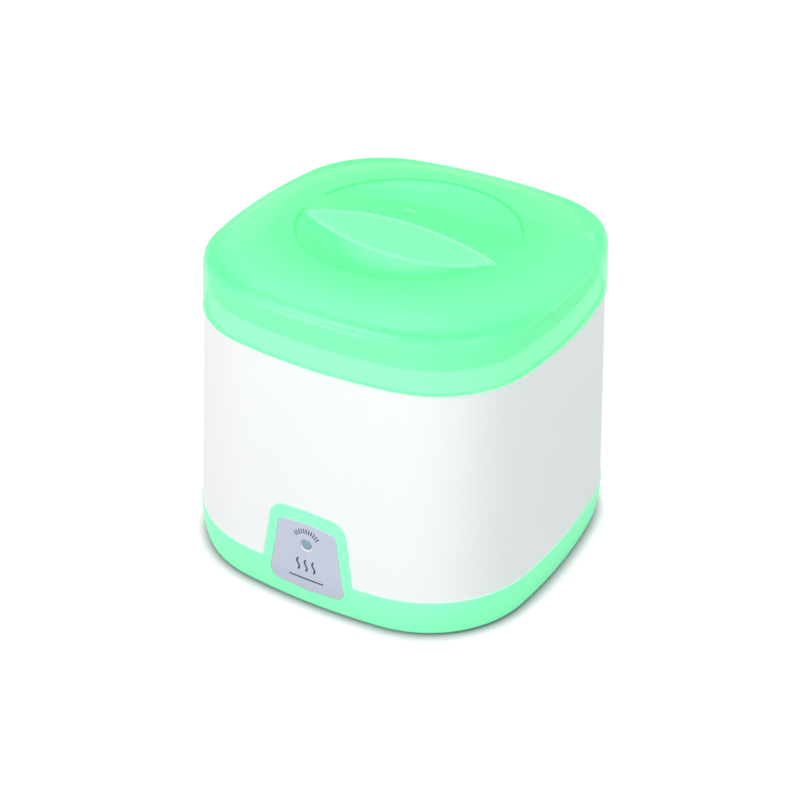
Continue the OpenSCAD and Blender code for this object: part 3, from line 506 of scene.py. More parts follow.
def lamp_hole():
    """A cutter along Y for the round hole in tab and badge that the lamp window sits in."""
    return rod_y(0, LAMP_Z, LAMP_R + INSERT_GAP, -SEAM_HW - 2, -SEAM_HW / 2)


# ---------------------------------------------------------------- outer lid

def recess_z(r):
    """Height of the finger recess at distance r from the axis, before the step at its edge."""
    return RECESS_FLOOR_Z + RECESS_BALL_R - math.sqrt(RECESS_BALL_R ** 2 - r * r)


def step_depth(r):
    """How much deeper the recess is at distance r, so that its edge is a small step."""
    return RECESS_STEP * (r / RECESS_R) ** 2


def crown_z(t):
    """Height of the lid's crown, from the crease inside the rim (t = 0) to the plateau (t = 1)."""
    return mix(RIM_Z - RIM_DIP, PLATEAU_Z, 1 - (1 - t) ** 2)


def lid_top_rows():
    """Outer face of the lid as (outline, height), from its lower edge to the middle of the recess."""
    skirt = [(0.25, LID_Z + 0.1), (0.0, LID_Z + 0.35), (0.2, LID_Z + 2), (0.8, LID_Z + 15)]
    rim = smooth_rows([(0.8, LID_Z + 15), (1.1, RIM_Z - 5.0), (1.5, RIM_Z - 2.6), (2.1, RIM_Z - 1.0),
                       (3.0, RIM_Z - 0.2), (RIM_INSET, RIM_Z)], 5)
    rows = [(inset(LID_PLAN, d), z) for d, z in skirt[:-1] + rim]
    top_r, level_w = RECESS_R + 1.8, 1.0
    for t in (0.5, 0.8, 1.0):
        rows.append((mix_plan(inset(LID_PLAN, RIM_INSET), CREASE_PLAN, t), RIM_Z - RIM_DIP * t * t))
    steps = 32
    for i in range(1, steps + 1):
        t = (i / steps) ** 1.4
        rows.append((mix_plan(CREASE_PLAN, round_plan(top_r), t), crown_z(t)))
    edge_r = 0.6
    slope = math.asin(RECESS_R / RECESS_BALL_R)
    for i in range(1, 6):
        a = slope * i / 5
        r = top_r - level_w - edge_r * math.sin(a)
        rows.append((round_plan(r), PLATEAU_Z - edge_r * (1 - math.cos(a))))
    steps = 25
    for i in range(steps):
        r = (RECESS_R - 0.3) * (1 - i / steps)
        rows.append((round_plan(r), recess_z(r) - step_depth(r)))
    return rows


def lid_under_rows():
    """Inner face of the lid, from below its lower edge to the middle of the roof over the recess."""
    inner = inset(LID_PLAN, LID_WALL + 0.2)
    top = round_plan(RECESS_R + 1)
    rows = [(inner, LID_Z - 1), (inset(inner, 0.2), LID_Z + 15), (inset(inner, 0.4), RIM_Z - LID_WALL - 2.4),
            (inset(inner, 1.2), RIM_Z - LID_WALL - 0.8)]
    for t in (0, 0.05, 0.1, 0.2, 0.35, 0.5, 0.7):
        rows.append((inset(mix_plan(CREASE_PLAN, top, t), 0.8), crown_z(t) - LID_WALL - 0.3 * (1 - t)))
    rows.append((top, PLATEAU_Z - LID_WALL))
    steps = 20
    for i in range(steps, 0, -1):
        r = 2 + 46 * i / steps
        rows.append((round_plan(r), recess_z(r) - LID_WALL - 0.1))
    return rows


def grip_half_w(z):
    """Half the width of the grip at height z."""
    return mix(GRIP_W, GRIP_TOP_W, (z - RECESS_FLOOR_Z) / (GRIP_Z - RECESS_FLOOR_Z)) / 2


def grip_section(top, dish_z, d):
    """Half section (y, z) of the grip: a fillet up from the dish, the side and a rounded edge."""
    edge_r, full_fillet = 1.3, 1.7
    foot_z = min(dish_z, top - edge_r - 0.2)
    share = min((top - edge_r - foot_z) / full_fillet, 1)
    points = []
    for flare, lift in GRIP_FOOT:
        z = foot_z + lift * (share if lift > 0 else 1)
        points.append((grip_half_w(z) - d + flare * share, z))
    half_w = grip_half_w(top) - d
    for i in range(7):
        a = math.radians(15 * i)
        points.append((half_w - edge_r * (1 - math.cos(a)), top - edge_r * (1 - math.sin(a))))
    return points + [(4.0, top)]


def grip_mesh(d=0.0):
    """The grip bar: an arch along X with sides that lean in, and every face moved in by d."""
    rise = GRIP_Z - PLATEAU_Z
    arch_r = (GRIP_REACH ** 2 + rise ** 2) / (2 * rise)
    columns = 112
    rings = []
    for i in range(columns + 1):
        x = (RECESS_R + 2 - d) * (2 * i / columns - 1)
        arch = GRIP_Z - arch_r + math.sqrt((arch_r - d) ** 2 - x * x)
        r = min(math.hypot(x, GRIP_W / 2), RECESS_R)
        dish_z = recess_z(r) - step_depth(r) - 1.5 * d
        half = grip_section(max(arch, PLATEAU_Z - 0.05 - d), dish_z, d)
        rings.append([(x, y, z) for y, z in half] + [(x, -y, z) for y, z in reversed(half)])
    return loft(rings)


def lid_region(face):
    """Which of the lid's materials a face takes, from its place and the way it faces."""
    radius, z = face.center.xy.length / MM, face.center.z / MM
    up, outer = face.normal.z, radius > RECESS_R + 10
    inward = outer and face.normal.xy.dot(face.center.xy) < -0.01
    # Faces inside the lid take a mint with a stronger painted glow
    if z > LID_Z + 0.5 and (up < -0.2 or inward):
        return INSIDE
    if z < RIM_Z - 4 and outer:
        return SKIRT
    # Faces of the grip that slope: its rounded edges and the fillet at its foot. Those that face back take a
    # painted shade line.
    if radius < RECESS_R - 2 and recess_z(radius) - 0.2 < z < GRIP_Z and 0.3 < up < 0.96:
        if face.normal.y > 0.2:
            return CREASE
        # The steeper of the others take a painted highlight
        if up < 0.88:
            return GRIP_EDGE
    # Upright faces of the grip take a lighter mint: painted light
    if abs(up) < 0.5 and radius < RECESS_R:
        return GRIP_WALL
    # The small step at the recess edge takes a painted shade line
    if RECESS_R - 0.5 < radius < RECESS_R + 0.8 and z < PLATEAU_Z - 0.05 and up > 0:
        return CREASE
    return TOP


def make_lid(*materials):
    """The outer lid with its grip, hollow underneath, with a material for each of its regions."""
    angles = ring_angles()
    body = mesh_from("lid", *loft([ring(plan, z, angles) for plan, z in lid_top_rows()]))
    body = carve(body, mesh_from("grip", *grip_mesh()), "UNION")
    gate_mark = [(0, GRIP_Z - 1.0), (1.6, GRIP_Z - 0.85), (2.5, GRIP_Z - 0.4), (2.9, GRIP_Z),
                 (2.9, GRIP_Z + 1), (0, GRIP_Z + 1)]
    body = carve(body, mesh_from("gate_mark", *turned(gate_mark, sides=48)))
    body = carve(body, mesh_from("hollow", *loft([ring(plan, z, angles) for plan, z in lid_under_rows()])))
    body = carve(body, mesh_from("grip_hollow", *grip_mesh(LID_WALL)))
    obj = new_piece("lid_skin", body, materials[TOP], "lid", ["outer_lid"])
    for material in materials[SKIRT:]:
        body.materials.append(material)
    for face in body.polygons:
        face.material_index = lid_region(face)
    shade(obj)


# ---------------------------------------------------------------- body

def make_shell(material, collar_glow_material):
    """The white body: up its outside to the shoulder, collar and deck, and down again inside."""
    collar = at_hw(LID_PLAN, LID_HW - LID_WALL - SLIDE_GAP - 0.2)
    inner_top = DECK_Z - SHELL_WALL
    middle_z = mix(SEAM_Z, LID_Z, 0.5)
    rows = [(shell_plan(SEAM_Z), SEAM_Z), (shell_plan(middle_z), middle_z)]
    rows += [(inset(shell_plan(LID_Z - 0.6), d), z) for d, z in edge_arc(0.6, LID_Z - 0.6, 0.6, 0, 90)]
    rows += [(collar, LID_Z)]
    rows += [(inset(collar, 0.1 + d), z) for d, z in edge_arc(0.8, DECK_Z - 0.8, 0.8, 0, 90)]
    rows += [(round_plan(WELL_OPENING_R), DECK_Z), (round_plan(WELL_OPENING_R), inner_top)]
    rows += [(inset(collar, SHELL_WALL), inner_top), (inset(collar, SHELL_WALL), LID_Z)]
    rows += [(inset(shell_plan(LID_Z - SHELL_WALL), SHELL_WALL), LID_Z - 2 * SHELL_WALL),
             (inset(shell_plan(SEAM_Z), SHELL_WALL), SEAM_Z)]
    angles = ring_angles()
    mesh = mesh_from("shell", *loft([ring(plan, z, angles) for plan, z in rows], closed=True))
    low, high = in_mm(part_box("power_inlet"))
    seat = box_mesh((low.x - FIXED_GAP, low.y - FIXED_GAP, low.z - FIXED_GAP),
                    (high.x + FIXED_GAP, high.y + 10, high.z + FIXED_GAP))
    mesh = carve(mesh, mesh_from("inlet_seat", *seat))
    obj = new_piece("body_shell", mesh, material, "root", ["outer_shell"])
    mesh.materials.append(collar_glow_material)
    # Outer faces of the collar, seen through the skirt, take the white with a painted glow
    for face in mesh.polygons:
        outward = face.normal.xy.dot(face.center.xy) > 0
        if LID_Z - 0.2 < face.center.z / MM < DECK_Z and outward:
            face.material_index = 1
    shade(obj)


def base_tray():
    """Mesh of the tray: outer wall from a rounded foot to the seam, then down inside to the floor."""
    foot = base_plan(FOOT_Z)
    rows = [(inset(foot, 1.6), FOOT_Z), (inset(foot, 0.7), FOOT_Z + 0.05), (inset(foot, 0.3), FOOT_Z + 0.3),
            (inset(base_plan(FOOT_Z + 0.8), 0.1), FOOT_Z + 0.8)]
    rows += [(base_plan(z), z) for z in (2.6, 5, 8, 11, 14, 17, SEAM_Z - 0.3)]
    rows += [(inset(SEAM_PLAN, 0.3), SEAM_Z), (inset(SEAM_PLAN, BASE_WALL), SEAM_Z)]
    rows += [(inset(foot, BASE_WALL + 1), FLOOR_Z + 2), (inset(foot, BASE_WALL + 3.2), FLOOR_Z)]
    angles = ring_angles()
    return mesh_from("tray", *loft([ring(plan, z, angles) for plan, z in rows]))


def floor_hole(x, y, r):
    """A cutter for a round hole through the base's floor."""
    return turned([(0, 0), (r, 0), (r, FLOOR_Z + 1), (0, FLOOR_Z + 1)], x, y, 48)


def centres(*nodes):
    """Middle of each CAD node in plan."""
    boxes = [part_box(node) for node in nodes]
    return [((low.x + high.x) / 2 / MM, (low.y + high.y) / 2 / MM) for low, high in boxes]


def make_base(material):
    """The base: tray and tab, with the badge's pocket and holes for lamp, feet, screws and air."""
    mesh = base_tray()
    tab = front_plate(tab_outline(), fillet(0.35, TAB_WALL), SEAM_Z - 0.2)
    mesh = carve(mesh, mesh_from("tab", *tab), "UNION")
    pocket = front_plate(badge_outline(INSERT_GAP), [(0, BADGE_T - 0.1), (0, -2)])
    mesh = carve(mesh, mesh_from("pocket", *pocket))
    cuts = [lamp_hole()]
    for x, y in centres(*FEET):
        cuts.append(floor_hole(x, y, FOOT_HOLE_R))
    for turn in (SCREW_ANGLE, 180 - SCREW_ANGLE, 180 + SCREW_ANGLE, -SCREW_ANGLE):
        a = math.radians(turn)
        cuts.append(floor_hole(SCREW_CIRCLE_R * math.cos(a), SCREW_CIRCLE_R * math.sin(a), SCREW_HOLE_R))
    half_w, half_len = VENT_W / 2, VENT_LEN / 2
    for x in range(-VENT_REACH, VENT_REACH + 1, VENT_PITCH):
        cuts.append(box_mesh((x - half_w, -half_len, 0), (x + half_w, half_len, FLOOR_Z + 1)))
    mesh = carve(mesh, mesh_from("cuts", *merge(*cuts)))
    shade(new_piece("base_tray", mesh, material, "root", ["base_cover"]))


# ---------------------------------------------------------------- badge and lamp window

def badge_stroke(path, half_width):
    """A flat printed line on the badge along (x, z) points."""
    rings = []
    for i, point in enumerate(path):
        along = (Vector(path[min(i + 1, len(path) - 1)]) - Vector(path[max(i - 1, 0)])).normalized()
        side = Vector((along.y, -along.x)) * half_width
        (x0, z0), (x1, z1) = Vector(point) - side, Vector(point) + side
        rings.append([(x0, face_y(x0, z0, 0.1), z0), (x1, face_y(x1, z1, 0.1), z1),
                      (x1, face_y(x1, z1, -0.1), z1), (x0, face_y(x0, z0, -0.1), z0)])
    return loft(rings)


def badge_marks():
    """Plain marks in place of lettering: ticks over the lamp, three warmth waves and a rule under it."""
    strokes = []
    for degrees in range(40, 141, 10):
        a = math.radians(degrees)
        tick = [(r * math.cos(a), LAMP_Z + r * math.sin(a)) for r in TICK_REACH]
        strokes.append(badge_stroke(tick, 0.28))
    for x in (-4, 0, 4):
        wave = [(x + 0.7 * math.sin(s * math.pi / 6), WAVE_Z + s * 0.5) for s in range(13)]
        strokes.append(badge_stroke(wave, 0.45))
    strokes.append(badge_stroke([(x, RULE_Z) for x in range(-9, 10, 2)], 0.4))
    return merge(*strokes)


def make_badge(plate_material, ink_material, window_material):
    """The badge plate, the marks printed on it and the window of the lamp."""
    plate = mesh_from("badge", *front_plate(badge_outline(), fillet(0.25, BADGE_T - 0.1, -0.06)))
    plate = carve(plate, mesh_from("hole", *lamp_hole()))
    shade(new_piece("badge_plate_skin", plate, plate_material, "root", ["badge_plate"]))
    marks = mesh_from("marks", *badge_marks())
    shade(new_piece("badge_marks", marks, ink_material, "root"))
    low, high = in_mm(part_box("lamp_window"))
    flange_r = (high.x - low.x) / 2
    flange, depth = TAB_WALL + FIXED_GAP, high.y - low.y
    profile = [(0, 0), (0.8, 0.02), (1.7, 0.1), (2.4, 0.25), (2.8, 0.45), (LAMP_R, 0.8),
               (LAMP_R, flange), (flange_r, flange), (flange_r, depth), (0, depth)]
    points, faces = turned(profile, sides=64)
    lens = [(x, low.y + z, LAMP_Z + y) for x, y, z in points]
    shade(new_piece("lamp_lens", mesh_from("lens", lens, faces), window_material, "root",
                    ["lamp_window"]))


# ---------------------------------------------------------------- cup, its lid, the well and the feet

def make_cup(material):
    """The cup, turned, with a flange round its mouth."""
    low, high = in_mm(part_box("inner_cup"))
    inner_r = CUP_R - CUP_WALL
    flange_z = high.z - CUP_FLANGE_T
    points = [(0, low.z), (CUP_R, low.z), (CUP_R, flange_z), (high.x, flange_z), (high.x, high.z),
              (inner_r, high.z), (inner_r, low.z + CUP_WALL), (0, low.z + CUP_WALL)]
    profile = rounded(points, [0, 5, 0.5, 0.6, 0.8, 0.6, 4, 0], 6)
    mesh = mesh_from("cup", *turned(profile, sides=192))
    shade(new_piece("cup_body", mesh, material, "cup", ["inner_cup"]))


def make_cup_lid(material):
    """The cup's lid: a dished disc with a plug, a short skirt and a bar handle."""
    low, high = in_mm(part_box("cup_lid"))
    disc_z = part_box("cup_lid_seal")[1].z / MM
    top_z = disc_z + CUP_LID_WALL
    dish_z, skirt_z = top_z - CUP_LID_DISH, disc_z - CUP_LID_SKIRT
    plug_r, rim_r = CUP_R - CUP_WALL - SLIDE_GAP, high.x
    points = [(0, disc_z), (plug_r - 2, disc_z), (plug_r - 2, low.z), (plug_r, low.z), (plug_r, disc_z),
              (rim_r - CUP_LID_WALL, disc_z), (rim_r - CUP_LID_WALL, skirt_z), (rim_r, skirt_z),
              (rim_r, top_z), (CUP_LID_DISH_R + 2, top_z), (CUP_LID_DISH_R, dish_z), (0, dish_z)]
    profile = rounded(points, [0, 0.5, 0.5, 0.5, 0.3, 0.3, 0.3, 0.4, 1.4, 0.8, 0.8, 0], 6)
    disc = mesh_from("cup_lid", *turned(profile, sides=192))
    end_x, half_w = HANDLE_LEN / 2 - HANDLE_W / 2, HANDLE_W / 2
    turns = [math.radians(90 - 7.5 * i) for i in range(25)]
    outline = [(end_x + half_w * math.cos(t), half_w * math.sin(t)) for t in turns]
    outline += [(-x, -y) for x, y in outline]
    rows = [(0, top_z - 0.8)] + edge_arc(1.5, high.z - 1.5, 1.5, 0, 90)
    disc = carve(disc, mesh_from("handle", *stack(outline, rows)), "UNION")
    shade(new_piece("cup_lid_skin", disc, material, "cup_cover", ["cup_lid"]))


def make_well(material):
    """The well that the cup stands in: a tube with a flange on the deck and a lip round the plate."""
    low, high = in_mm(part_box("inner_well"))
    outer_r, lip_z = WELL_R + WELL_WALL, low.z + WELL_LIP_T
    points = [(WELL_R, lip_z), (WELL_R, high.z), (high.x, high.z), (high.x, DECK_Z), (outer_r, DECK_Z),
              (outer_r, low.z), (WELL_LIP_R, low.z), (WELL_LIP_R, lip_z)]
    profile = rounded(points, [0.5, 0.8, 0.6, 0.2, 0.4, 0.8, 0.4, 0.4], 5)
    mesh = mesh_from("well", *turned(profile, sides=192, closed=True))
    shade(new_piece("well_skin", mesh, material, "root", ["inner_well"]))


def make_feet(material):
    """The four rubber feet."""
    for node, (x, y) in zip(FEET, centres(*FEET)):
        low, high = in_mm(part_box(node))
        foot_r = (high.x - low.x) / 2
        points = [(0, 0), (foot_r - 1.2, 0), (foot_r, 0), (foot_r - 0.3, FOOT_Z), (3, FOOT_Z),
                  (3, high.z), (0, high.z)]
        profile = rounded(points, [0, 0, 0.4, 0.2, 0, 0.4, 0], 4)
        mesh = mesh_from(node, *turned(profile, x, y, 64))
        shade(new_piece(node + "_skin", mesh, material, "root", [node]))


# ---------------------------------------------------------------- materials

def new_material(name, roughness, metallic=0.0, alpha=1.0, specular=0.5, coat=0.0):
    """A Principled material, its node tree, its shader and its object coordinates."""
    material = bpy.data.materials.new(name)
    material.use_nodes = True
    tree = material.node_tree
    shader = tree.nodes["Principled BSDF"]
    shader.inputs["Roughness"].default_value = roughness
    shader.inputs["Metallic"].default_value = metallic
    shader.inputs["Alpha"].default_value = alpha
    shader.inputs["Specular IOR Level"].default_value = specular
    shader.inputs["Coat Weight"].default_value = coat
    place = tree.nodes.new("ShaderNodeTexCoord")
    return material, tree, shader, place.outputs["Object"]


def noise(tree, place, scale, detail, stretch=(1, 1, 1)):
    """A noise value, with its pattern stretched along the axes."""
    mapping = tree.nodes.new("ShaderNodeMapping")
    mapping.inputs["Scale"].default_value = stretch
    tree.links.new(place, mapping.inputs["Vector"])
    node = tree.nodes.new("ShaderNodeTexNoise")
    node.inputs["Scale"].default_value = scale
    node.inputs["Detail"].default_value = detail
    tree.links.new(mapping.outputs["Vector"], node.inputs["Vector"])
    return node.outputs["Fac"]


def tint(tree, shader, value, colour, spread):
    """Base colour that varies a little with a value."""
    tone = tree.nodes.new("ShaderNodeMix")
    tone.data_type = "RGBA"
    tone.inputs["A"].default_value = (*[c * (1 - spread) for c in colour], 1)
    tone.inputs["B"].default_value = (*[min(c * (1 + spread), 1) for c in colour], 1)
    tree.links.new(value, tone.inputs["Factor"])
    tree.links.new(tone.outputs["Result"], shader.inputs["Base Color"])


def combined(tree, operation, first, second):
    """The result of a math operation on two values."""
    node = tree.nodes.new("ShaderNodeMath")
    node.operation = operation
    tree.links.new(first, node.inputs[0])
    tree.links.new(second, node.inputs[1])
    return node.outputs[0]


def relief(tree, shader, value, depth_mm, strength):
    """Fine relief in the surface from a value."""
    bump = tree.nodes.new("ShaderNodeBump")
    bump.inputs["Strength"].default_value = strength
    bump.inputs["Distance"].default_value = depth_mm * MM
    tree.links.new(value, bump.inputs["Height"])
    tree.links.new(bump.outputs["Normal"], shader.inputs["Normal"])


def fine_grain(tree, shader, place, strength):
    """The grain of a moulded surface."""
    relief(tree, shader, noise(tree, place, 2500, 2), 0.02, strength)


def plastic(name, colour, roughness=0.4, grain=0.02, alpha=1.0, specular=0.5, coat=0.0):
    """Moulded plastic, rubber or ceramic: a faint cloudiness and a fine grain."""
    material, tree, shader, place = new_material(name, roughness, 0.0, alpha, specular, coat)
    tint(tree, shader, noise(tree, place, 18, 3), colour, 0.015)
    fine_grain(tree, shader, place, grain)
    return material


def glow(material, colour, strength):
    """Painted glow: a faint emission in place of light that a translucent plastic passes on from behind."""
    shader = material.node_tree.nodes["Principled BSDF"]
    shader.inputs["Emission Color"].default_value = (*colour, 1)
    shader.inputs["Emission Strength"].default_value = strength
    return material


def mint(name, colour, roughness, alpha, strength=MINT_GLOW, specular=0.5, coat=0.0):
    """Mint plastic with a painted green glow in place of the light that it passes on."""
    return glow(plastic(name, colour, roughness, alpha=alpha, specular=specular, coat=coat),
                GREEN_LIGHT, strength)


def tint_ramp(tree, value, stops):
    """Colour that follows a length in metres through stops of (millimetres, colour)."""
    low, high = stops[0][0], stops[-1][0]
    share = tree.nodes.new("ShaderNodeMapRange")
    share.inputs["From Min"].default_value = low * MM
    share.inputs["From Max"].default_value = high * MM
    tree.links.new(value, share.inputs["Value"])
    ramp = tree.nodes.new("ShaderNodeValToRGB")
    while len(ramp.color_ramp.elements) < len(stops):
        ramp.color_ramp.elements.new(0.5)
    for element, (place, colour) in zip(ramp.color_ramp.elements, stops):
        element.position = (place - low) / (high - low)
        element.color = (*colour, 1)
    tree.links.new(share.outputs["Result"], ramp.inputs["Fac"])
    return ramp.outputs["Color"]


def height_and_radius(tree, place):
    """Height over the floor and distance from the axis of each point, as two values in metres."""
    parts = tree.nodes.new("ShaderNodeSeparateXYZ")
    tree.links.new(place, parts.inputs["Vector"])
    flat = tree.nodes.new("ShaderNodeVectorMath")
    flat.operation = "MULTIPLY"
    flat.inputs[1].default_value = (1, 1, 0)
    tree.links.new(place, flat.inputs[0])
    radius = tree.nodes.new("ShaderNodeVectorMath")
    radius.operation = "LENGTH"
    tree.links.new(flat.outputs["Vector"], radius.inputs[0])
    return parts.outputs["Z"], radius.outputs["Value"]


def lid_top_plastic(name, roughness, alpha):
    """Lid plastic with painted light and shade: its tint changes with height and with the distance from the
    axis.
    """
    material, tree, shader, place = new_material(name, roughness, 0.0, alpha, 0.0, 0.4)
    height, radius = height_and_radius(tree, place)
    blend = tree.nodes.new("ShaderNodeMix")
    blend.data_type = "RGBA"
    blend.blend_type = "MULTIPLY"
    blend.inputs["Factor"].default_value = 1
    tree.links.new(tint_ramp(tree, height, TOP_LIGHT_AND_SHADE), blend.inputs["A"])
    tree.links.new(tint_ramp(tree, radius, RING_LIGHT_AND_SHADE), blend.inputs["B"])
    tree.links.new(blend.outputs["Result"], shader.inputs["Base Color"])
    fine_grain(tree, shader, place, 0.02)
    return material


def metal(name, colour, roughness=0.35, stretch=(1, 20, 1)):
    """Brushed or plated metal: fine lines along one axis."""
    material, tree, shader, place = new_material(name, roughness, 1.0)
    lines = noise(tree, place, 400, 3, stretch)
    tint(tree, shader, lines, colour, 0.06)
    relief(tree, shader, lines, 0.01, 0.15)
    return material


def fabric(name, colour):
    """Felt or glass-fibre sleeve: matt, with short fibres in two directions."""
    material, tree, shader, place = new_material(name, 0.95, specular=0.1)
    along, across = [noise(tree, place, 600, 4, stretch) for stretch in ((6, 1, 1), (1, 6, 1))]
    tint(tree, shader, noise(tree, place, 900, 4), colour, 0.12)
    relief(tree, shader, combined(tree, "ADD", along, across), 0.15, 0.6)
    return material


def make_finishes():
    """One material for each material slot of the record."""
    return {
        "shell_white": plastic("shell_white", WHITE, 0.42, specular=0.3),
        # The base's mint carries a painted green glow that lifts its shaded sides
        "base_mint": mint("base_mint", BASE_MINT, 0.42, 1.0, BASE_GLOW, specular=0.05, coat=0.1),
        # The lid's top: painted light and shade by height and by distance from the axis, and a painted green
        # glow
        "lid_mint": glow(lid_top_plastic("lid_top_mint", 0.36, 0.8), GREEN_LIGHT, MINT_GLOW),
        "badge": plastic("badge_lavender", (0.53, 0.55, 0.67), 0.45, 0.05),
        "window": plastic("window_grey", (0.2, 0.32, 0.42), 0.25, coat=0.4),
        "well_white": plastic("well_white", (0.78, 0.79, 0.79), 0.4),
        "cup_milk": plastic("cup_milk", (0.80, 0.80, 0.77), 0.35),
        "seal": plastic("seal_silicone", (0.72, 0.72, 0.68), 0.6),
        "gasket": plastic("gasket_silicone", (0.60, 0.10, 0.06), 0.6),
        "plate_aluminium": metal("plate_aluminium", (0.75, 0.76, 0.77), 0.35),
        "heater_case": metal("heater_case", (0.66, 0.66, 0.68), 0.45, (1, 1, 1)),
        "steel": metal("steel_zinc", (0.60, 0.60, 0.62), 0.3, (1, 1, 8)),
        "felt": fabric("felt", (0.70, 0.66, 0.54)),
        "thermostat_body": plastic("thermostat_phenolic", (0.09, 0.055, 0.035), 0.5),
        "fuse_body": plastic("fuse_ceramic", (0.68, 0.66, 0.58), 0.3),
        "sleeve": fabric("fuse_sleeve", (0.78, 0.75, 0.62)),
        "foot_rubber": plastic("foot_rubber", (0.42, 0.46, 0.46), 0.8, 0.2, specular=0.2),
        "board": plastic("board_green", (0.03, 0.14, 0.05), 0.4),
        "lamp": plastic("lamp_amber", (0.75, 0.16, 0.06), 0.15, alpha=0.8, coat=0.5),
        "resistor": plastic("resistor_beige", (0.62, 0.48, 0.26), 0.5),
        "inlet_black": plastic("inlet_black", (0.012, 0.012, 0.014), 0.45, 0.1),
        "pin_brass": metal("pin_brass", (0.60, 0.46, 0.18), 0.3, (1, 1, 8)),
        "wire_brown": plastic("wire_brown", (0.15, 0.05, 0.02), 0.4),
        "wire_blue": plastic("wire_blue", (0.03, 0.09, 0.40), 0.4),
        "wire_red": plastic("wire_red", (0.40, 0.03, 0.02), 0.5),
    }


def dress_cad_nodes(finishes):
    """Gives each CAD node that is still shown the material of its slot."""
    for part in frame["record"]["subparts"]:
        node = frame["nodes"][part["node"]]
        if not node.hide_render:
            node.data.materials.clear()
            node.data.materials.append(finishes[part["material_slot"]])


# ---------------------------------------------------------------- stage, camera and lights

def seen_directly(tree):
    """1 for camera, glossy and transmission rays, which see the white background, and 0 for the rest."""
    path = tree.nodes.new("ShaderNodeLightPath")
    seen = path.outputs["Is Camera Ray"]
    for name in ("Is Glossy Ray", "Is Transmission Ray"):
        seen = combined(tree, "MAXIMUM", seen, path.outputs[name])
    return seen


def make_floor():
    """A white floor with a painted contact shadow, darker close to what stands on it."""
    mesh = bpy.data.meshes.new("floor")
    low, high = -FLOOR_HALF_M, FLOOR_HALF_M
    mesh.from_pydata([(low, low, 0), (high, low, 0), (high, high, 0), (low, high, 0)], [], [(0, 1, 2, 3)])
    floor = bpy.data.objects.new("floor", mesh)
    bpy.context.scene.collection.objects.link(floor)
    material, tree, shader, place = new_material("floor_white", 0.9, specular=0.0)
    tint(tree, shader, noise(tree, place, 4, 2), FLOOR_GREY, 0.005)
    # Painted contact shadow: ambient occlusion darkens the floor's emission near the object
    contact = tree.nodes.new("ShaderNodeAmbientOcclusion")
    contact.inputs["Distance"].default_value = CONTACT_MM * MM
    shade_ramp = tree.nodes.new("ShaderNodeValToRGB")
    fade = zip(shade_ramp.color_ramp.elements, CONTACT_FADE, (CONTACT_SHADOW_GREY, (1, 1, 1)))
    for element, position, colour in fade:
        element.position = position
        element.color = (*colour, 1)
    tree.links.new(contact.outputs["AO"], shade_ramp.inputs["Fac"])
    tree.links.new(shade_ramp.outputs["Color"], shader.inputs["Emission Color"])
    level = tree.nodes.new("ShaderNodeMath")
    level.operation = "MULTIPLY"
    level.inputs[1].default_value = FLOOR_GLOW
    tree.links.new(seen_directly(tree), level.inputs[0])
    tree.links.new(level.outputs[0], shader.inputs["Emission Strength"])
    mesh.materials.append(material)


def make_world():
    """A white background, dimmer where it only lights the object."""
    world = bpy.data.worlds.new("studio")
    world.use_nodes = True
    tree = world.node_tree
    back = tree.nodes["Background"]
    back.inputs["Color"].default_value = (1, 1, 1, 1)
    level = tree.nodes.new("ShaderNodeMix")
    level.data_type = "FLOAT"
    level.inputs["A"].default_value = WORLD_LIGHT
    level.inputs["B"].default_value = 1.0
    tree.links.new(seen_directly(tree), level.inputs["Factor"])
    tree.links.new(level.outputs["Result"], back.inputs["Strength"])
    bpy.context.scene.world = world


def area_light(name, place, size, power, colour=(1, 1, 1)):
    """A square light that faces the middle of the body; place and size in metres, power in watts."""
    data = bpy.data.lights.new(name, "AREA")
    data.shape = "SQUARE"
    data.size = size
    data.energy = power
    data.color = colour
    light = bpy.data.objects.new(name, data)
    light.location = place
    light.rotation_euler = (Vector(LIGHT_AIM_M) - Vector(place)).to_track_quat("-Z", "Y").to_euler()
    bpy.context.scene.collection.objects.link(light)


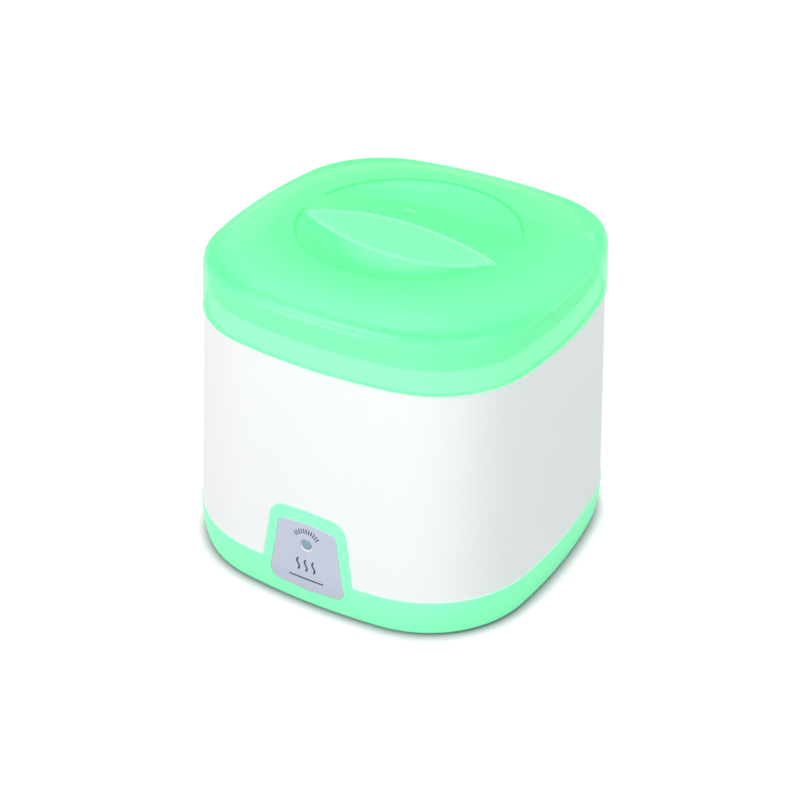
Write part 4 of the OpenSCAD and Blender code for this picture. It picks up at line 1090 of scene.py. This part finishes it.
def make_camera():
    """The camera of the photograph."""
    data = bpy.data.cameras.new("camera")
    data.lens = CAMERA_LENS
    data.sensor_width = 36
    data.sensor_fit = "HORIZONTAL"
    data.clip_start = 0.01
    data.clip_end = 50
    camera = bpy.data.objects.new("camera", data)
    a, e = CAMERA_AZIMUTH, CAMERA_ELEVATION
    back = Vector((math.sin(a) * math.cos(e), -math.cos(a) * math.cos(e), math.sin(e)))
    right = Vector((math.cos(a), math.sin(a), 0))
    aim = (Vector((0, 0, CAMERA_AIM_Z)) + right * CAMERA_AIM_RIGHT) * MM
    up = back.cross(right)
    turn = Matrix((right, up, back)).transposed().to_4x4() @ Matrix.Rotation(CAMERA_ROLL, 4, "Z")
    camera.matrix_world = Matrix.Translation(aim + back * CAMERA_DISTANCE * MM) @ turn
    bpy.context.scene.collection.objects.link(camera)
    bpy.context.scene.camera = camera


# ---------------------------------------------------------------- scene

make_camera()
make_world()
make_floor()
area_light("key", (-0.5, -1.15, 0.9), 0.7, 15.4)
area_light("fill", (1.2, -0.5, 0.62), 0.8, 9.6, (0.9, 1, 0.99))
area_light("top", (0.0, 0.1, 1.4), 0.9, 3.5)
area_light("rear", (0.3, 1.4, 0.25), 0.8, 3)

finishes = make_finishes()
# Every mint here carries a painted green glow
skirt_mint = mint("lid_skirt_mint", SKIRT_MINT, 0.3, 0.56, specular=0.0, coat=0.35)
# A lighter copy of the mint for the grip's walls: painted light
wall_lit_mint = mint("grip_wall_lit_mint", GRIP_WALL_LIT_MINT, 0.38, 0.9)
# White with a painted warm glow for the collar seen through the skirt
collar_glow_white = glow(plastic("collar_glow_white", WHITE, 0.45), WARM_LIGHT, COLLAR_GLOW)
# Dark mint for the painted shade lines
crease_shade_mint = mint("lid_crease_shade_mint", CREASE_SHADE_MINT, 0.5, 0.9)
# The lid's inside with a stronger painted glow
inside_glow_mint = mint("lid_inside_glow_mint", SKIRT_MINT, 0.4, 0.45, INSIDE_GLOW)
badge_ink = plastic("badge_ink", (0.04, 0.055, 0.11), 0.6)
# Paler mint for the painted highlight on the grip's edges
edge_highlight_mint = mint("grip_edge_highlight_mint", EDGE_HIGHLIGHT_MINT, 0.3, 0.9, specular=0.15)

make_lid(finishes["lid_mint"], skirt_mint, wall_lit_mint, inside_glow_mint, crease_shade_mint, edge_highlight_mint)
make_shell(finishes["shell_white"], collar_glow_white)
make_base(finishes["base_mint"])
make_badge(finishes["badge"], badge_ink, finishes["window"])
make_cup(finishes["cup_milk"])
make_cup_lid(finishes["cup_milk"])
make_well(finishes["well_white"])
make_feet(finishes["foot_rubber"])
dress_cad_nodes(finishes)

bpy.context.scene.view_settings.view_transform = "Standard"
